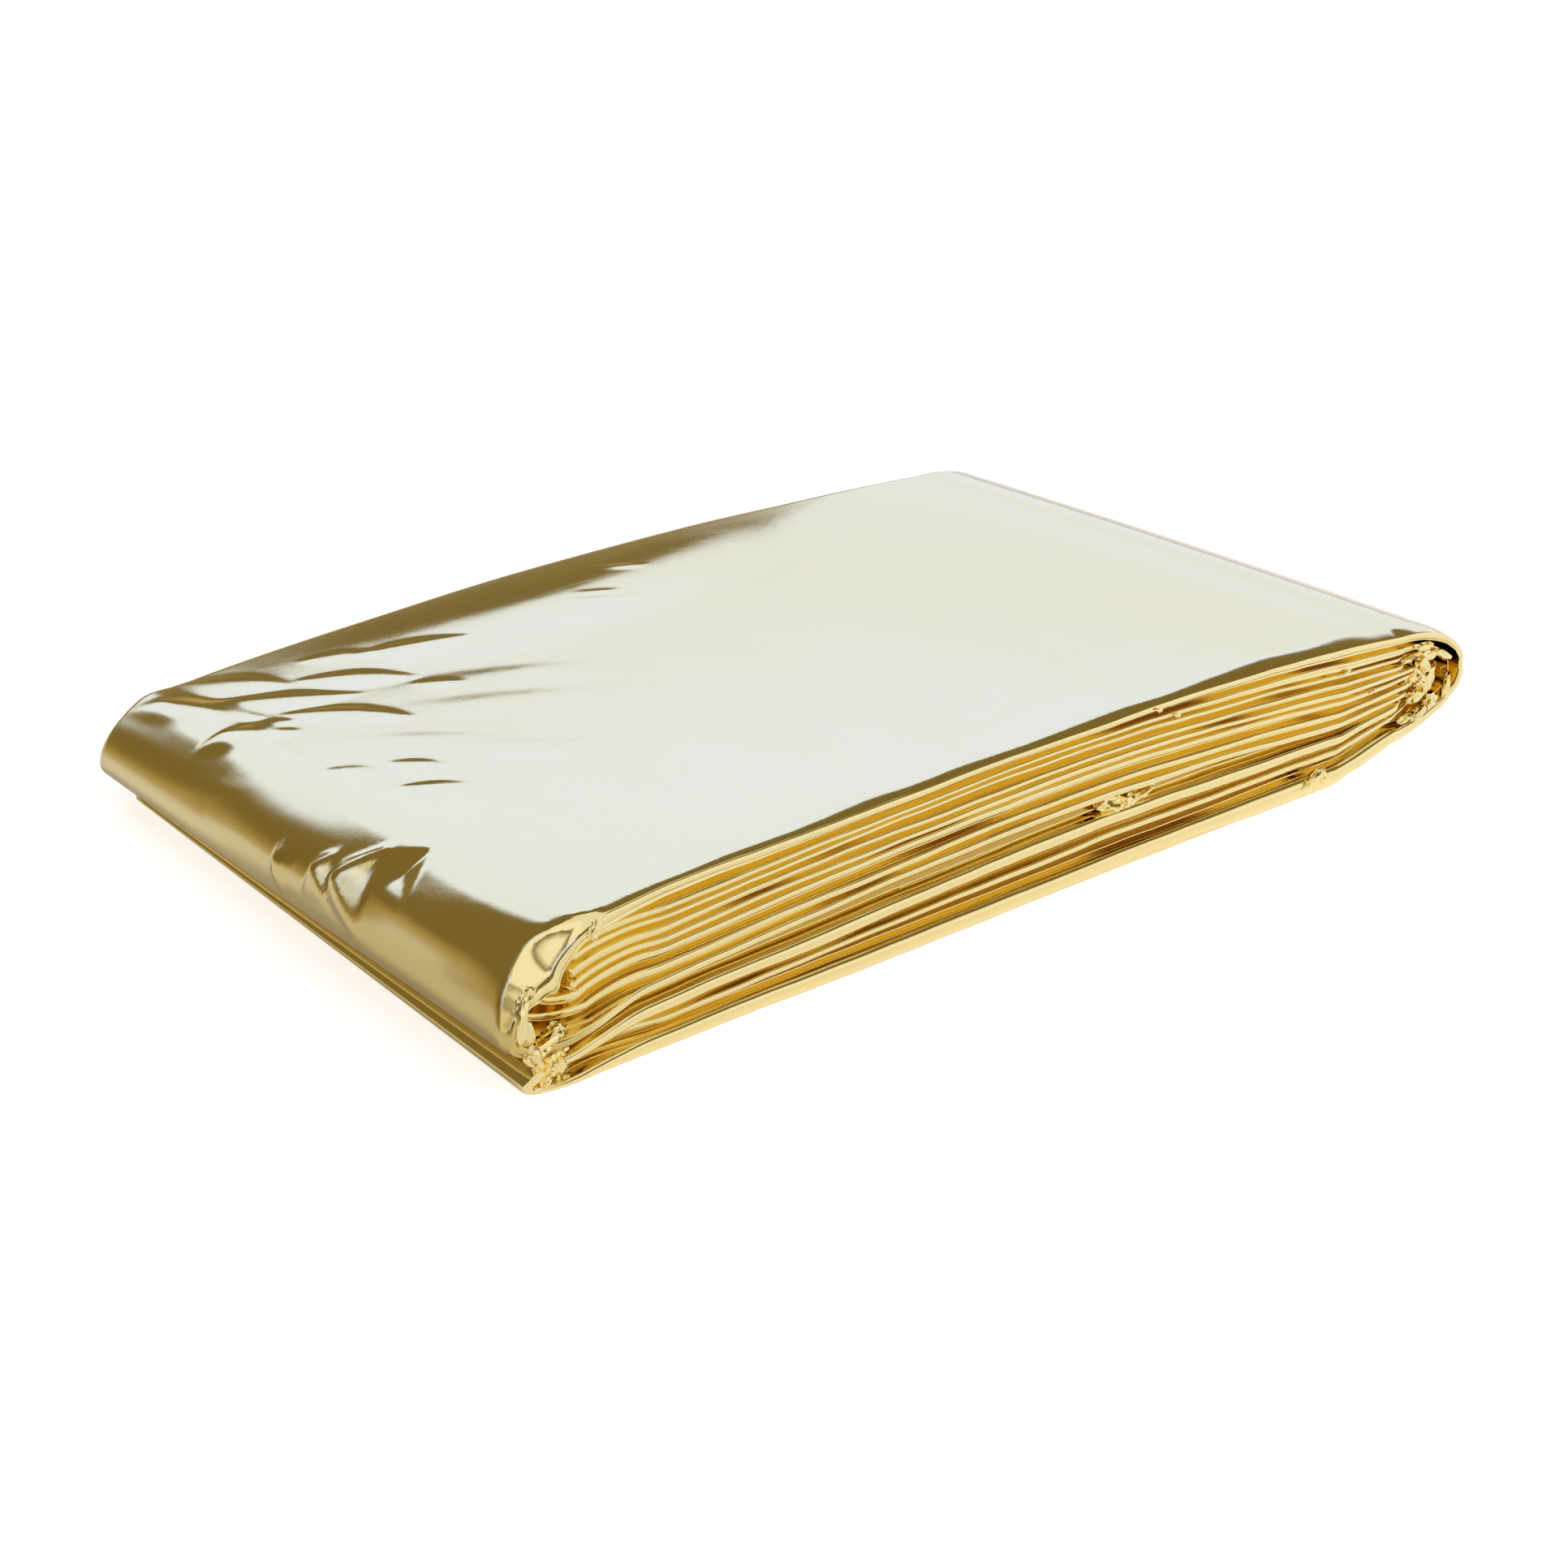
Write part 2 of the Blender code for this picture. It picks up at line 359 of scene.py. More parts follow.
@dataclass
class StripPath:
    """The strip's way through the packet, as the sections from one cut end to the other."""

    form: PacketForm
    run_step: float = 1.1 * MM
    fine_step: float = 0.56 * MM
    fullest_roll: float = 0.96
    fewest_steps: int = 8
    nose_top: float = 12.0 * MM
    sections: list[Section] = field(default_factory=list)

    def run_section(self, number: int, x: float, heading: int) -> Section:
        """The strip's section where it lies in a layer.

        Args:
            number: the layer, counted from the top.
            x: the place along the packet.
            heading: 1 where the strip runs to the right, -1 where it runs to the left.

        Returns:
            The section.
        """
        form = self.form
        layer = form.layers[number - 1]
        bottom_layer = len(form.layers)
        top = form.layer_top(number, x) - (0.0 if number == 1 else form.gap / 2)
        bottom = form.layer_top(number + 1, x) + (0.0 if number == bottom_layer else form.gap / 2)
        return Section(
            x=x,
            z=(top + bottom) / 2 - form.droop(number, x),
            thickness=top - bottom,
            front=layer.front + form.tucked(number, x),
            back=layer.back,
            skew=form.skew(number, x),
            roll=min(layer.roll / (top - bottom), self.fullest_roll),
            slit=layer.slit,
            slope=layer.slope,
            lip=layer.lip,
            heading=heading,
            hidden=0.0 if number in (1, bottom_layer) else 1.0,
            columns={1: Columns.FINE, 9: Columns.MEDIUM, 12: Columns.MEDIUM}.get(number, Columns.COARSE),
            number=number,
        )

    def turn_sections(self, turn: Turn, entering: int, leaving: int, side: int) -> list[Section]:
        """The sections round a turn from one layer to the other.

        Args:
            turn: the turn's sizes.
            entering: the layer that the strip leaves.
            leaving: the layer that it comes to.
            side: -1 at the packet's left end, 1 at its right end.

        Returns:
            The sections between the two runs.
        """
        form = self.form
        first = self.run_section(entering, turn.start, side)
        last = self.run_section(leaving, turn.start, -side)
        outer = turn.upper in form.bundle_tops
        wall = min(first.thickness, last.thickness)
        if outer:
            wall = form.left_wall if side < 0 else form.right_wall
        nose = {"thickness": wall, "front": turn.front, "back": turn.back}
        reach = abs(turn.nose - turn.start) - wall / 2
        half = (first.z - last.z) / 2
        steps = max(self.fewest_steps, round((math.pi * (reach + abs(half)) / 2) / turn.step))
        columns = Columns.FINE if turn.upper == 1 else Columns.MEDIUM if turn.lower == 12 else Columns.COARSE
        sections = []
        for i in range(1, steps):
            t = i / steps
            angle = math.pi * (0.5 - t)
            bulge = math.cos(angle)
            x = turn.start + side * reach * bulge**turn.squareness
            z = (first.z + last.z) / 2 + half * math.sin(angle)
            sizes = {
                name: mix(getattr(first, name), getattr(last, name), t)
                for name in ("thickness", "front", "back", "roll", "slit", "slope", "lip")
            }
            sizes |= {name: mix(sizes[name], size, bulge) for name, size in nose.items()}
            sections.append(replace(
                first,
                x=x,
                z=z - form.droop(entering, x) + form.droop(entering, turn.start),
                skew=form.skew(entering, x),
                heading=side if t < 0.5 else -side,
                hidden=0.0 if outer else 1.0,
                columns=columns,
                number=0,
                roundness=math.sqrt(bulge),
                **sizes,
            ))
        return sections

    def build(self) -> "StripPath":
        """Works out every section in order, with each one's place on the outer film.

        Returns:
            The path itself.
        """
        form = self.form
        turns = {}
        starts = {(number, 1): x for number, x in form.cut_ends}
        for side, group in ((-1, form.left_turns), (1, form.right_turns)):
            for turn in group:
                turns[frozenset((turn.upper, turn.lower))] = turn
                starts[turn.upper, side] = turn.start
                starts[turn.lower, side] = turn.start
        heading = form.first_heading
        for number, following in zip(form.route, form.route[1:] + (None,)):
            begin = starts[number, -heading]
            end = starts[number, heading]
            step = self.fine_step if number == 1 else self.run_step
            count = max(2, round(abs(end - begin) / step))
            for i in range(count + 1):
                self.sections.append(self.run_section(number, mix(begin, end, i / count), heading))
            if following:
                turn = turns[frozenset((number, following))]
                self.sections += self.turn_sections(turn, number, following, heading)
            heading = -heading
        self.measure()
        return self

    def measure(self) -> None:
        """Gives each section its distance along the film, which equals x just above the left-hand nose."""
        travelled = 0.0
        steps = list(zip(self.sections, self.sections[1:]))
        for here, there in steps:
            travelled += math.hypot(there.x - here.x, there.z - here.z)
            there.film_x = travelled
        nose = next(
            here for here, there in steps
            if here.columns is Columns.FINE and here.z > self.nose_top and there.x > here.x
        )
        shift = nose.x - nose.film_x
        for section in self.sections:
            section.film_x += shift

    def normals(self) -> list[tuple[float, float]]:
        """The direction square to the strip at each section, towards the side that is outward at the turns.

        Returns:
            Its x and z for each section.
        """
        directions = []
        for here, there in zip(self.sections, self.sections[1:]):
            length = math.hypot(there.x - here.x, there.z - here.z)
            directions.append(((there.x - here.x) / length, (there.z - here.z) / length))
        normals = []
        for before, after in zip(directions[:1] + directions, directions + directions[-1:]):
            along_x = before[0] + after[0]
            along_z = before[1] + after[1]
            length = math.hypot(along_x, along_z)
            normals.append((-along_z / length, along_x / length))
        return normals


class Fold(Enum):
    """How a crease is formed: a rounded wave, a rounded one with pointed ends, or flat facets."""

    SOFT = "soft"
    POINTED = "pointed"
    CRISP = "crisp"


@dataclass(frozen=True)
class Crease:
    """A crease in the outer film, from one place on it to another, in millimetres.

    Places are (x along the film, y across). The film rises by height, or sinks where that is negative, with a
    flank of the given reach to the left of the line and another to its right. A crisp crease's flanks are
    widest at peak, a share of its length.
    """

    start: Span
    end: Span
    height: float
    left: float
    right: float
    bow: float = 0.0
    fold: Fold = Fold.SOFT
    peak: float = 0.5
    least_taper: float = 0.02
    end_power: float = 1.3

    def rise(self, film_x: float, y: np.ndarray) -> np.ndarray:
        """How far the film is moved outwards at each point, in millimetres.

        Args:
            film_x: the points' place along the film, in millimetres.
            y: the points' places across it, in millimetres.

        Returns:
            The rise at each point.
        """
        along = (self.end[0] - self.start[0], self.end[1] - self.start[1])
        length = math.hypot(*along)
        along = (along[0] / length, along[1] / length)
        dx = film_x - self.start[0]
        dy = y - self.start[1]
        t = np.clip((dx * along[0] + dy * along[1]) / length, 0.0, 1.0)
        taper = np.sin(np.pi * t)
        offset = dy * along[0] - dx * along[1] - self.bow * taper
        away = np.where(offset > 0, offset / self.left, -offset / self.right)
        if self.fold is Fold.CRISP:
            slant = np.minimum(t / self.peak, (1 - t) / (1 - self.peak))
            return self.height * np.maximum(slant - away, 0.0)
        if self.fold is Fold.POINTED:
            away = away / np.maximum(taper, self.least_taper)
            return self.height * taper * (1 - np.clip(away, 0.0, 1.0) ** 2) ** 2
        return self.height * (1 - np.clip(away, 0.0, 1.0) ** 2) ** 2 * taper**self.end_power


@dataclass(frozen=True)
class Waviness:
    """A soft random change from place to place.

    It is at most about as large as amount, and changes over so many millimetres along the packet and up it.
    Each pattern is another part of the same noise.
    """

    amount: float
    along: float
    up: float
    pattern: int
    gain: float = 1.6
    spacing: float = 7.3

    def at(self, section: Section) -> float:
        """The change at a place.

        Args:
            section: the strip's section there.

        Returns:
            The change, from about -amount to amount.
        """
        level = self.spacing * self.pattern
        where = Vector((section.x / (self.along * MM), section.z / (self.up * MM), level))
        return self.amount * (noise.noise(where, noise_basis="PERLIN_ORIGINAL") * self.gain)


@dataclass(frozen=True)
class Ring:
    """A ring of the mesh: its first point, its count of points, and how many cross its outward face."""

    first: int
    count: int
    outward: int

    def across(self) -> list[int]:
        """The points over its outward face, from the back edge's last to the front edge's first."""
        end = self.first + self.count
        return [*range(end - self.outward - 1, end), self.first]


def half_round(count: int) -> np.ndarray:
    """Angles from a quarter turn up to a quarter turn down."""
    return np.pi * (0.5 - np.arange(count) / (count - 1))


def facing_layer(angles: np.ndarray, start: float = 0.85, width: float = 0.15) -> np.ndarray:
    """How far each point round an edge lies in the gap to the next layer, as a share."""
    return eased((np.abs(np.sin(angles)) - start) / width)


def rows(y: Amount, offset: Amount, shade: Amount) -> np.ndarray:
    """Points (y, offset, shade), where any of these may be one value for all."""
    return np.column_stack(np.broadcast_arrays(y, offset, shade))


@dataclass
class StripMesh:
    """The strip as one closed mesh of rings, finer where its outer face shows."""

    path: StripPath
    creases: tuple[Crease, ...]
    roll_steps: int = 9
    lip_steps: int = 3
    back_steps: int = 5
    inward_steps: int = 5
    flatness: float = 0.6
    back_flatness: float = 0.8
    widest_roll: float = 0.98
    highest_slit: float = 0.7
    fullest_lip: float = 0.4
    lip_start: float = 0.4
    lip_turn: float = 0.9
    fewest_columns: int = 5
    slit_depth: float = 5.0 * MM
    lip_radius: float = 0.14 * MM
    thin_plies: float = 0.3 * MM
    roll_waves: Waviness = Waviness(0.2, 24.0, 1.1, 1)
    slit_waves: Waviness = Waviness(0.5, 15.0, 1.1, 2)
    slope_waves: Waviness = Waviness(0.5, 21.0, 1.1, 3)
    edge_waves: tuple[Waviness, ...] = (Waviness(0.18 * MM, 19.0, 1.1, 4), Waviness(0.05 * MM, 4.0, 0.8, 5))
    height_waves: tuple[Waviness, ...] = (Waviness(0.09 * MM, 15.0, 4.0, 6), Waviness(0.03 * MM, 5.0, 2.0, 7))
    shoulder_waves: Waviness = Waviness(0.3, 11.0, math.inf, 8)
    recess_waves: Waviness = Waviness(1.6, 24.0, 0.7, 9)
    recess_shade: Span = (0.42, 0.82)
    under_roll_shade: float = 0.72
    slit_shades: tuple[float, ...] = (0.9, 0.9, 0.45)
    lip_shades: tuple[float, ...] = (0.15, 0.0, 0.5)
    layer_shade: float = 0.5
    turn_shade: float = 0.3
    wave_depth: float = 0.12
    wave_height: float = 2.0 * MM
    shoulder_places: tuple[float, ...] = millimetres(-58.0, -35.0, -18.0, -5.0, 10.0, 32.0, 54.0, 66.0)
    shoulder_widths: tuple[float, ...] = millimetres(1.1, 1.1, 1.3, 1.1, 1.3, 2.0, 2.7, 2.2)
    shoulder_bend: float = 0.165
    shoulder_power: float = 1.5
    chamfer_slope: float = 0.85
    chamfer_reach: float = 2.7 * MM
    chamfer_rounding: float = 0.5 * MM
    chamfer_start: float = -58.4 * MM
    chamfer_widest: float = -65.6 * MM
    chamfer_end: float = -74.0 * MM
    points: list[np.ndarray] = field(default_factory=list)
    film: list[np.ndarray] = field(default_factory=list)
    shades: list[np.ndarray] = field(default_factory=list)
    faces: list[tuple[int, ...]] = field(default_factory=list)
    shift: np.ndarray = field(default_factory=lambda: np.zeros(3))

    @property
    def front_count(self) -> int:
        """How many points the front edge has."""
        return self.roll_steps + len(self.slit_shades) + self.lip_steps

    def chamfer_share(self, film_x: float) -> float:
        """How wide the flat strip is that is pressed onto the outer film's front-left corner.

        Args:
            film_x: the place along the film.

        Returns:
            The width as a share of its greatest.
        """
        grown = np.clip((self.chamfer_start - film_x) / (self.chamfer_start - self.chamfer_widest), 0.0, 1.0)
        faded = np.clip((self.chamfer_widest - film_x) / (self.chamfer_widest - self.chamfer_end), 0.0, 1.0)
        return float(grown * (1 - faded))

    def front_profile(self, section: Section) -> np.ndarray:
        """The front edge's points, from the outward face round to the inward one.

        From the top of the layer down they run round its roll, in and out of the slit under the roll, and
        down the face of the inner plies to their lip.

        Args:
            section: the section.

        Returns:
            The points (y, offset, painted shade).
        """
        height = section.thickness
        radius = height / 2 * min(section.roll * (1 + self.roll_waves.at(section)), self.widest_roll)
        rest = height - 2 * radius
        slit = min(section.slit * (1 + self.slit_waves.at(section)), self.highest_slit * rest)
        slope = section.slope * (1 + self.slope_waves.at(section))
        front = -self.path.form.half_depth + section.front
        front += sum(waves.amount + waves.at(section) for waves in self.edge_waves)
        middle = front + radius * self.flatness
        lip = min(self.lip_radius, self.fullest_lip * (rest - slit))
        # How dark the painted shade is in the gap above the roll, which changes from place to place.
        recess_painted_shade = mix(*self.recess_shade, min(max(self.recess_waves.at(section), 0.0), 1.0))
        # The roll, with painted shade where it turns into the gaps above and below it.
        angles = half_round(self.roll_steps)
        above = recess_painted_shade * (section.hidden if section.heading > 0 else 1.0)
        shades = facing_layer(angles) * np.where(angles > 0, above, self.under_roll_shade)
        roll = rows(middle - radius * self.flatness * np.cos(angles), radius * (1 - np.sin(angles)), shades)
        # The slit and the face of the inner plies, both shallow where few plies are left under the roll. They
        # take painted shade, darkest deep in the slit and lightest on the lip.
        opened = float(eased(rest / self.thin_plies))
        deep = middle + self.slit_depth * opened
        lip_front = middle + section.lip * opened
        slit_y = np.array((deep, deep, lip_front + slope))
        slit_down = 2 * radius + slit * np.array((0, 1, 1))
        angles = np.pi * (self.lip_start - self.lip_turn * np.arange(self.lip_steps) / (self.lip_steps - 1))
        shades = np.array(self.lip_shades) * (section.hidden if section.heading < 0 else 1.0)
        lips = rows(lip_front + lip * (1 - np.cos(angles)), height - lip * (1 + np.sin(angles)), shades)
        run = np.vstack([roll, rows(slit_y, slit_down, np.array(self.slit_shades)), lips])
        # At a turn the film is one plain rounded edge, with painted shade where it faces the next layer.
        angles = half_round(self.front_count)
        shades = self.layer_shade * facing_layer(angles)
        shades = np.where(angles * section.heading > 0, shades * section.hidden, shades)
        around = height / 2 * self.flatness
        turned = rows(front + around * (1 - np.cos(angles)), height / 2 * (1 - np.sin(angles)), shades)
        blended = mix(run[:: section.heading], turned[:: section.heading], section.roundness)
        blended[:, 1] = section.heading * (height / 2 - blended[:, 1])
        return blended

    def back_profile(self, section: Section) -> np.ndarray:
        """The back edge's points, from the inward face round to the outward one.

        Args:
            section: the section.

        Returns:
            The points (y, offset, shade).
        """
        half = section.thickness / 2
        back = self.path.form.half_depth - section.back - half * self.back_flatness
        angles = -half_round(self.back_steps)
        return rows(back + half * self.back_flatness * np.cos(angles), half * np.sin(angles), 0.0)

    def outline(self, section: Section) -> tuple[np.ndarray, int]:
        """The points (y, offset, shade) round a section, and how many of them lie across its outward face.

        Args:
            section: the section.

        Returns:
            The points from the front edge round by the inward face and the back edge, and the count.
        """
        front = self.front_profile(section)
        back = self.back_profile(section)
        half = section.thickness / 2
        shares = np.linspace(0, 1, self.inward_steps)[1:-1]
        # Painted shade on the faces hidden inside the packet, more round the turns, and none on the outer
        # faces.
        inward_shade = self.layer_shade + self.turn_shade * section.roundness
        inward = rows(mix(front[-1, 0], back[0, 0], shares), -half, inward_shade)
        count = max(self.fewest_columns, round(2 * self.path.form.half_depth / section.columns.value))
        shares = np.linspace(1, 0, count + 1)[1:-1]
        outward = rows(mix(front[0, 0], back[-1, 0], shares), half, self.layer_shade * section.hidden)
        if section.columns is Columns.FINE:
            # The outer film rounds over along its front, and a flat strip is pressed onto its left corner.
            width = smooth_between(section.x, self.shoulder_places, self.shoulder_widths)
            width *= 1 + self.shoulder_waves.at(section)
            cut = self.chamfer_share(section.film_x)
            inwards = outward[:, 0] - front[0, 0]
            rising = 1 - np.clip(1 - inwards / width, 0, 1) ** self.shoulder_power
            outward[:, 1] += self.shoulder_bend * width * (1 - cut) * rising * (1 - shares)
            inside = self.chamfer_reach * cut - inwards
            rounded = (inside + np.hypot(inside, self.chamfer_rounding * cut)) / 2
            outward[:, 1] -= self.chamfer_slope * rounded
            above = np.clip(front[:, 1] / half, 0, 1)
            front[:, 1] -= self.chamfer_slope * self.chamfer_reach * cut * np.maximum(above, cut)
        return np.vstack([front, inward, back, outward]), len(outward)

    def place(self, section: Section, normal: Span, outline: np.ndarray, outward: int) -> None:
        """Sets one ring of points in space, with the creases of the outer film.

        Args:
            section: the ring's section.
            normal: the direction square to the strip there, as its x and z.
            outline: the ring's points (y, offset, shade).
            outward: how many of them lie across the outward face.
        """
        form = self.path.form
        y, offset, shade = outline.T.copy()
        depth = (y + form.half_depth) / (2 * form.half_depth)
        drop = 1 + (form.back_share(section.x) - 1) * np.maximum(depth, 0.0) ** form.crown
        if section.columns is not Columns.COARSE:
            # The creases move the outward face and fade out over the rolls at its two edges.
            start = len(y) - outward
            edge = np.zeros(len(y))
            edge[: self.roll_steps] = np.linspace(1.0, 0.0, self.roll_steps)
            edge[start - 2: start] = (0.5, 1.0)
            edge[start:] = 1.0
            offset += sum(crease.rise(section.film_x / MM, y / MM) for crease in self.creases) * MM * edge
        wave = sum(waves.at(section) for waves in self.height_waves)
        raised = wave * np.exp(-((depth / self.wave_depth) ** 2)) * float(eased(section.z / self.wave_height))
        x = section.x + normal[0] * offset + section.skew * (depth - 0.5)
        z = np.maximum((section.z + normal[1] * offset) * drop + raised, 0.0)
        self.points.append(np.column_stack([x, y, form.settled(section.x, z, depth, drop)]))
        self.film.append(np.column_stack([np.full(len(y), section.film_x), y]))
        self.shades.append(shade)

    def face_line(self, number: int, share: float) -> np.ndarray:
        """The points along a layer's inner plies.

        Args:
            number: the layer, counted from the top.
            share: how far down they lie from the slit to the lip.

        Returns:
            The points from left to right.
        """
        line = []
        for section, ring in zip(self.path.sections, self.points):
            if section.number == number:
                front = ring[: self.front_count][:: section.heading]
                upper = self.roll_steps + 2
                line.append(mix(front[upper], front[upper + 1], share) + self.shift)
        return np.array(sorted(line, key=lambda point: point[0]))

    def stitch(self, one: Ring, other: Ring) -> None:
        """Joins two rings with faces, also where their outward faces have different numbers of points.

        Args:
            one: the first ring.
            other: the ring that follows it.
        """
        for i in range(one.count - one.outward - 1):
            a = one.first + i
            b = other.first + i
            self.faces.append((a, a + 1, b + 1, b))
        a = one.across()
        b = other.across()
        if len(a) == len(b):
            self.faces += zip(a, a[1:], b[1:], b)
            return
        i = j = 0
        while i < len(a) - 1 or j < len(b) - 1:
            if j == len(b) - 1 or (i < len(a) - 1 and (i + 1) / (len(a) - 1) <= (j + 1) / (len(b) - 1)):
                self.faces.append((a[i], a[i + 1], b[j]))
                i += 1
            else:
                self.faces.append((a[i], b[j + 1], b[j]))
                j += 1

    def build(self) -> bpy.types.Mesh:
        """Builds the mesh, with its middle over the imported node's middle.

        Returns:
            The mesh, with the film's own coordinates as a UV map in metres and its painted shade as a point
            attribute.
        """
        rings = []
        total = 0
        for section, normal in zip(self.path.sections, self.path.normals()):
            outline, outward = self.outline(section)
            self.place(section, normal, outline, outward)
            rings.append(Ring(total, len(outline), outward))
            total += len(outline)
        for one, other in zip(rings, rings[1:]):
            self.stitch(one, other)
        self.faces.append(tuple(reversed(range(rings[0].count))))
        self.faces.append(tuple(range(rings[-1].first, total)))
        points = np.vstack(self.points)
        low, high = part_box(NODE)
        own = (points.min(0) + points.max(0)) / 2
        self.shift = np.append((np.array((low + high) / 2) - own)[:2], 0.0)
        mesh = bpy.data.meshes.new(NODE)
        mesh.from_pydata((points + self.shift).tolist(), [], self.faces)
        loops = np.zeros(len(mesh.loops), np.int32)
        mesh.loops.foreach_get("vertex_index", loops)
        mesh.uv_layers.new(name=FILM_MAP).data.foreach_set("uv", np.vstack(self.film)[loops].ravel())
        # The painted shade, kept as a point attribute that the film's material reads.
        shade = mesh.attributes.new(SHADE, "FLOAT", "POINT")
        shade.data.foreach_set("value", np.concatenate(self.shades))
        mesh.validate()
        mesh.shade_smooth()
        return mesh


LEFT_BAND_WAVES = (
    Crease((-62.8, 62.0), (-62.4, 12.0), 0.26, 4.8, 3.8),
    Crease((-69.8, 18.0), (-70.2, -20.0), 0.64, 6.2, 2.6),
    Crease((-69.6, -15.0), (-69.0, -33.0), 0.30, 4.4, 2.4),
    Crease((-67.6, -13.0), (-67.2, -42.0), 0.34, 5.0, 3.0),
    Crease((-69.5, 27.0), (-66.5, 11.0), 0.07, 1.2, 1.6),
)
BACK_ROLL = (
    Crease((-60.0, 42.0), (33.0, 42.5), 0.55, 13.0, 15.0, -12.0),
    Crease((-14.0, 27.4), (-4.6, 22.2), 0.07, 1.6, 1.6),
    Crease((-12.0, 29.4), (-5.0, 25.0), 0.07, 1.3, 1.6),
    Crease((-3.6, 36.0), (2.4, 31.6), 0.07, 1.3, 1.8),
)
BACK_LEFT_WRINKLES = tuple(Crease(*row, fold=Fold.POINTED) for row in (
    ((-59.2, 43.0), (-50.0, 29.4), 0.21, 3.2, 5.0, 0.5),
    ((-60.0, 34.2), (-46.0, 20.4), 0.22, 3.0, 4.2, -0.6),
    ((-66.0, 43.0), (-57.0, 22.0), 0.26, 3.0, 3.8, 0.8),
    ((-56.4, 23.6), (-46.0, 8.8), 0.23, 2.8, 4.0, 0.8),
    ((-60.0, 23.6), (-55.0, 19.0), 0.14, 1.7, 2.4),
    ((-66.0, 25.4), (-56.4, 16.0), 0.24, 2.8, 3.6, 0.5),
    ((-50.0, 31.2), (-39.0, 19.8), 0.20, 2.8, 4.2, 0.5),
    ((-41.6, 32.6), (-27.4, 26.4), 0.20, 3.0, 5.0, -0.5),
    ((-46.6, 36.4), (-38.0, 31.0), 0.10, 2.0, 3.4, 0.3),
    ((-41.4, 19.4), (-36.2, 14.2), 0.10, 1.7, 2.8),
    ((-55.6, 1.8), (-50.6, -5.8), 0.13, 1.7, 3.6),
    ((-58.4, -4.6), (-51.4, -11.6), 0.13, 1.7, 3.6),
    ((-62.0, 6.0), (-56.0, -1.0), 0.09, 1.5, 3.0, 0.3),
))
SOFT_FOLDS = (
    Crease((-50.0, 14.0), (-22.0, -6.0), 0.06, 3.5, 5.0, 1.5),
    Crease((-46.0, 20.0), (-20.0, 4.0), 0.05, 3.0, 5.0, 1.5),
    Crease((-56.0, 4.0), (-34.0, -16.0), 0.06, 3.0, 5.0, 1.0),
    Crease((-58.0, 12.0), (-40.0, -8.0), 0.05, 2.5, 4.0, 1.0),
    Crease((-36.0, 24.0), (-12.0, 12.0), 0.05, 3.5, 6.0, 1.0),
    Crease((-60.0, -2.0), (-50.0, -22.0), 0.06, 2.5, 4.0),
    Crease((-62.0, -10.0), (-46.0, -30.0), 0.05, 3.0, 5.0, 1.0),
    Crease((-60.0, -24.0), (-40.0, -41.0), 0.05, 2.4, 4.0, 1.0),
    Crease((10.0, -30.0), (52.0, -24.0), 0.05, 4.0, 6.0, -1.0),
    Crease((20.0, -38.0), (60.0, -33.0), 0.06, 3.0, 4.0, 1.0),
    Crease((34.0, -12.0), (63.0, -4.0), 0.06, 4.0, 6.0, 1.0),
    Crease((40.0, 6.0), (64.0, 16.0), 0.06, 4.0, 6.0, 1.0),
    Crease((52.0, 18.0), (60.0, 38.0), 0.05, 3.0, 5.0, 1.0),
    Crease((-10.0, -38.0), (24.0, -35.0), 0.05, 2.6, 4.0, 1.0),
)
LEFT_CRUMPLE = (
    Crease((-70.6, -9.8), (-63.7, -14.7), 1.70, 2.2, 5.6, fold=Fold.CRISP, peak=0.25),
    Crease((-67.6, -16.7), (-62.0, -19.7), -0.50, 2.9, 5.2, fold=Fold.CRISP, peak=0.33),
    Crease((-71.3, -5.2), (-66.6, -8.3), 1.10, 1.4, 4.2, fold=Fold.CRISP),
    Crease((-73.2, -1.0), (-68.2, 1.3), 0.85, 1.1, 3.0, fold=Fold.CRISP, peak=0.6),
)
CREASES = LEFT_BAND_WAVES + BACK_ROLL + BACK_LEFT_WRINKLES + SOFT_FOLDS + LEFT_CRUMPLE


class Value:
    """An output socket whose operators add Math nodes to its tree."""

    def __init__(self, tree: "NodeTree", socket: bpy.types.NodeSocket | None) -> None:
        """Wraps a socket of a tree."""
        self.tree = tree
        self.socket = socket

    def _math(self, operation: str, *values: object) -> "Value":
        """Adds a Math node on these values."""
        return self.tree.node("ShaderNodeMath", {"operation": operation}, dict(enumerate(values)))

    def __add__(self, other: object) -> "Value":
        """This value plus another."""
        return self._math("ADD", self, other)

    def __sub__(self, other: object) -> "Value":
        """This value less another."""
        return self._math("SUBTRACT", self, other)

    def __rsub__(self, other: object) -> "Value":
        """Another value less this one."""
        return self._math("SUBTRACT", other, self)

    def __mul__(self, other: object) -> "Value":
        """This value times another."""
        return self._math("MULTIPLY", self, other)

    def __rtruediv__(self, other: object) -> "Value":
        """Another value over this one."""
        return self._math("DIVIDE", other, self)

    __radd__ = __add__
    __rmul__ = __mul__


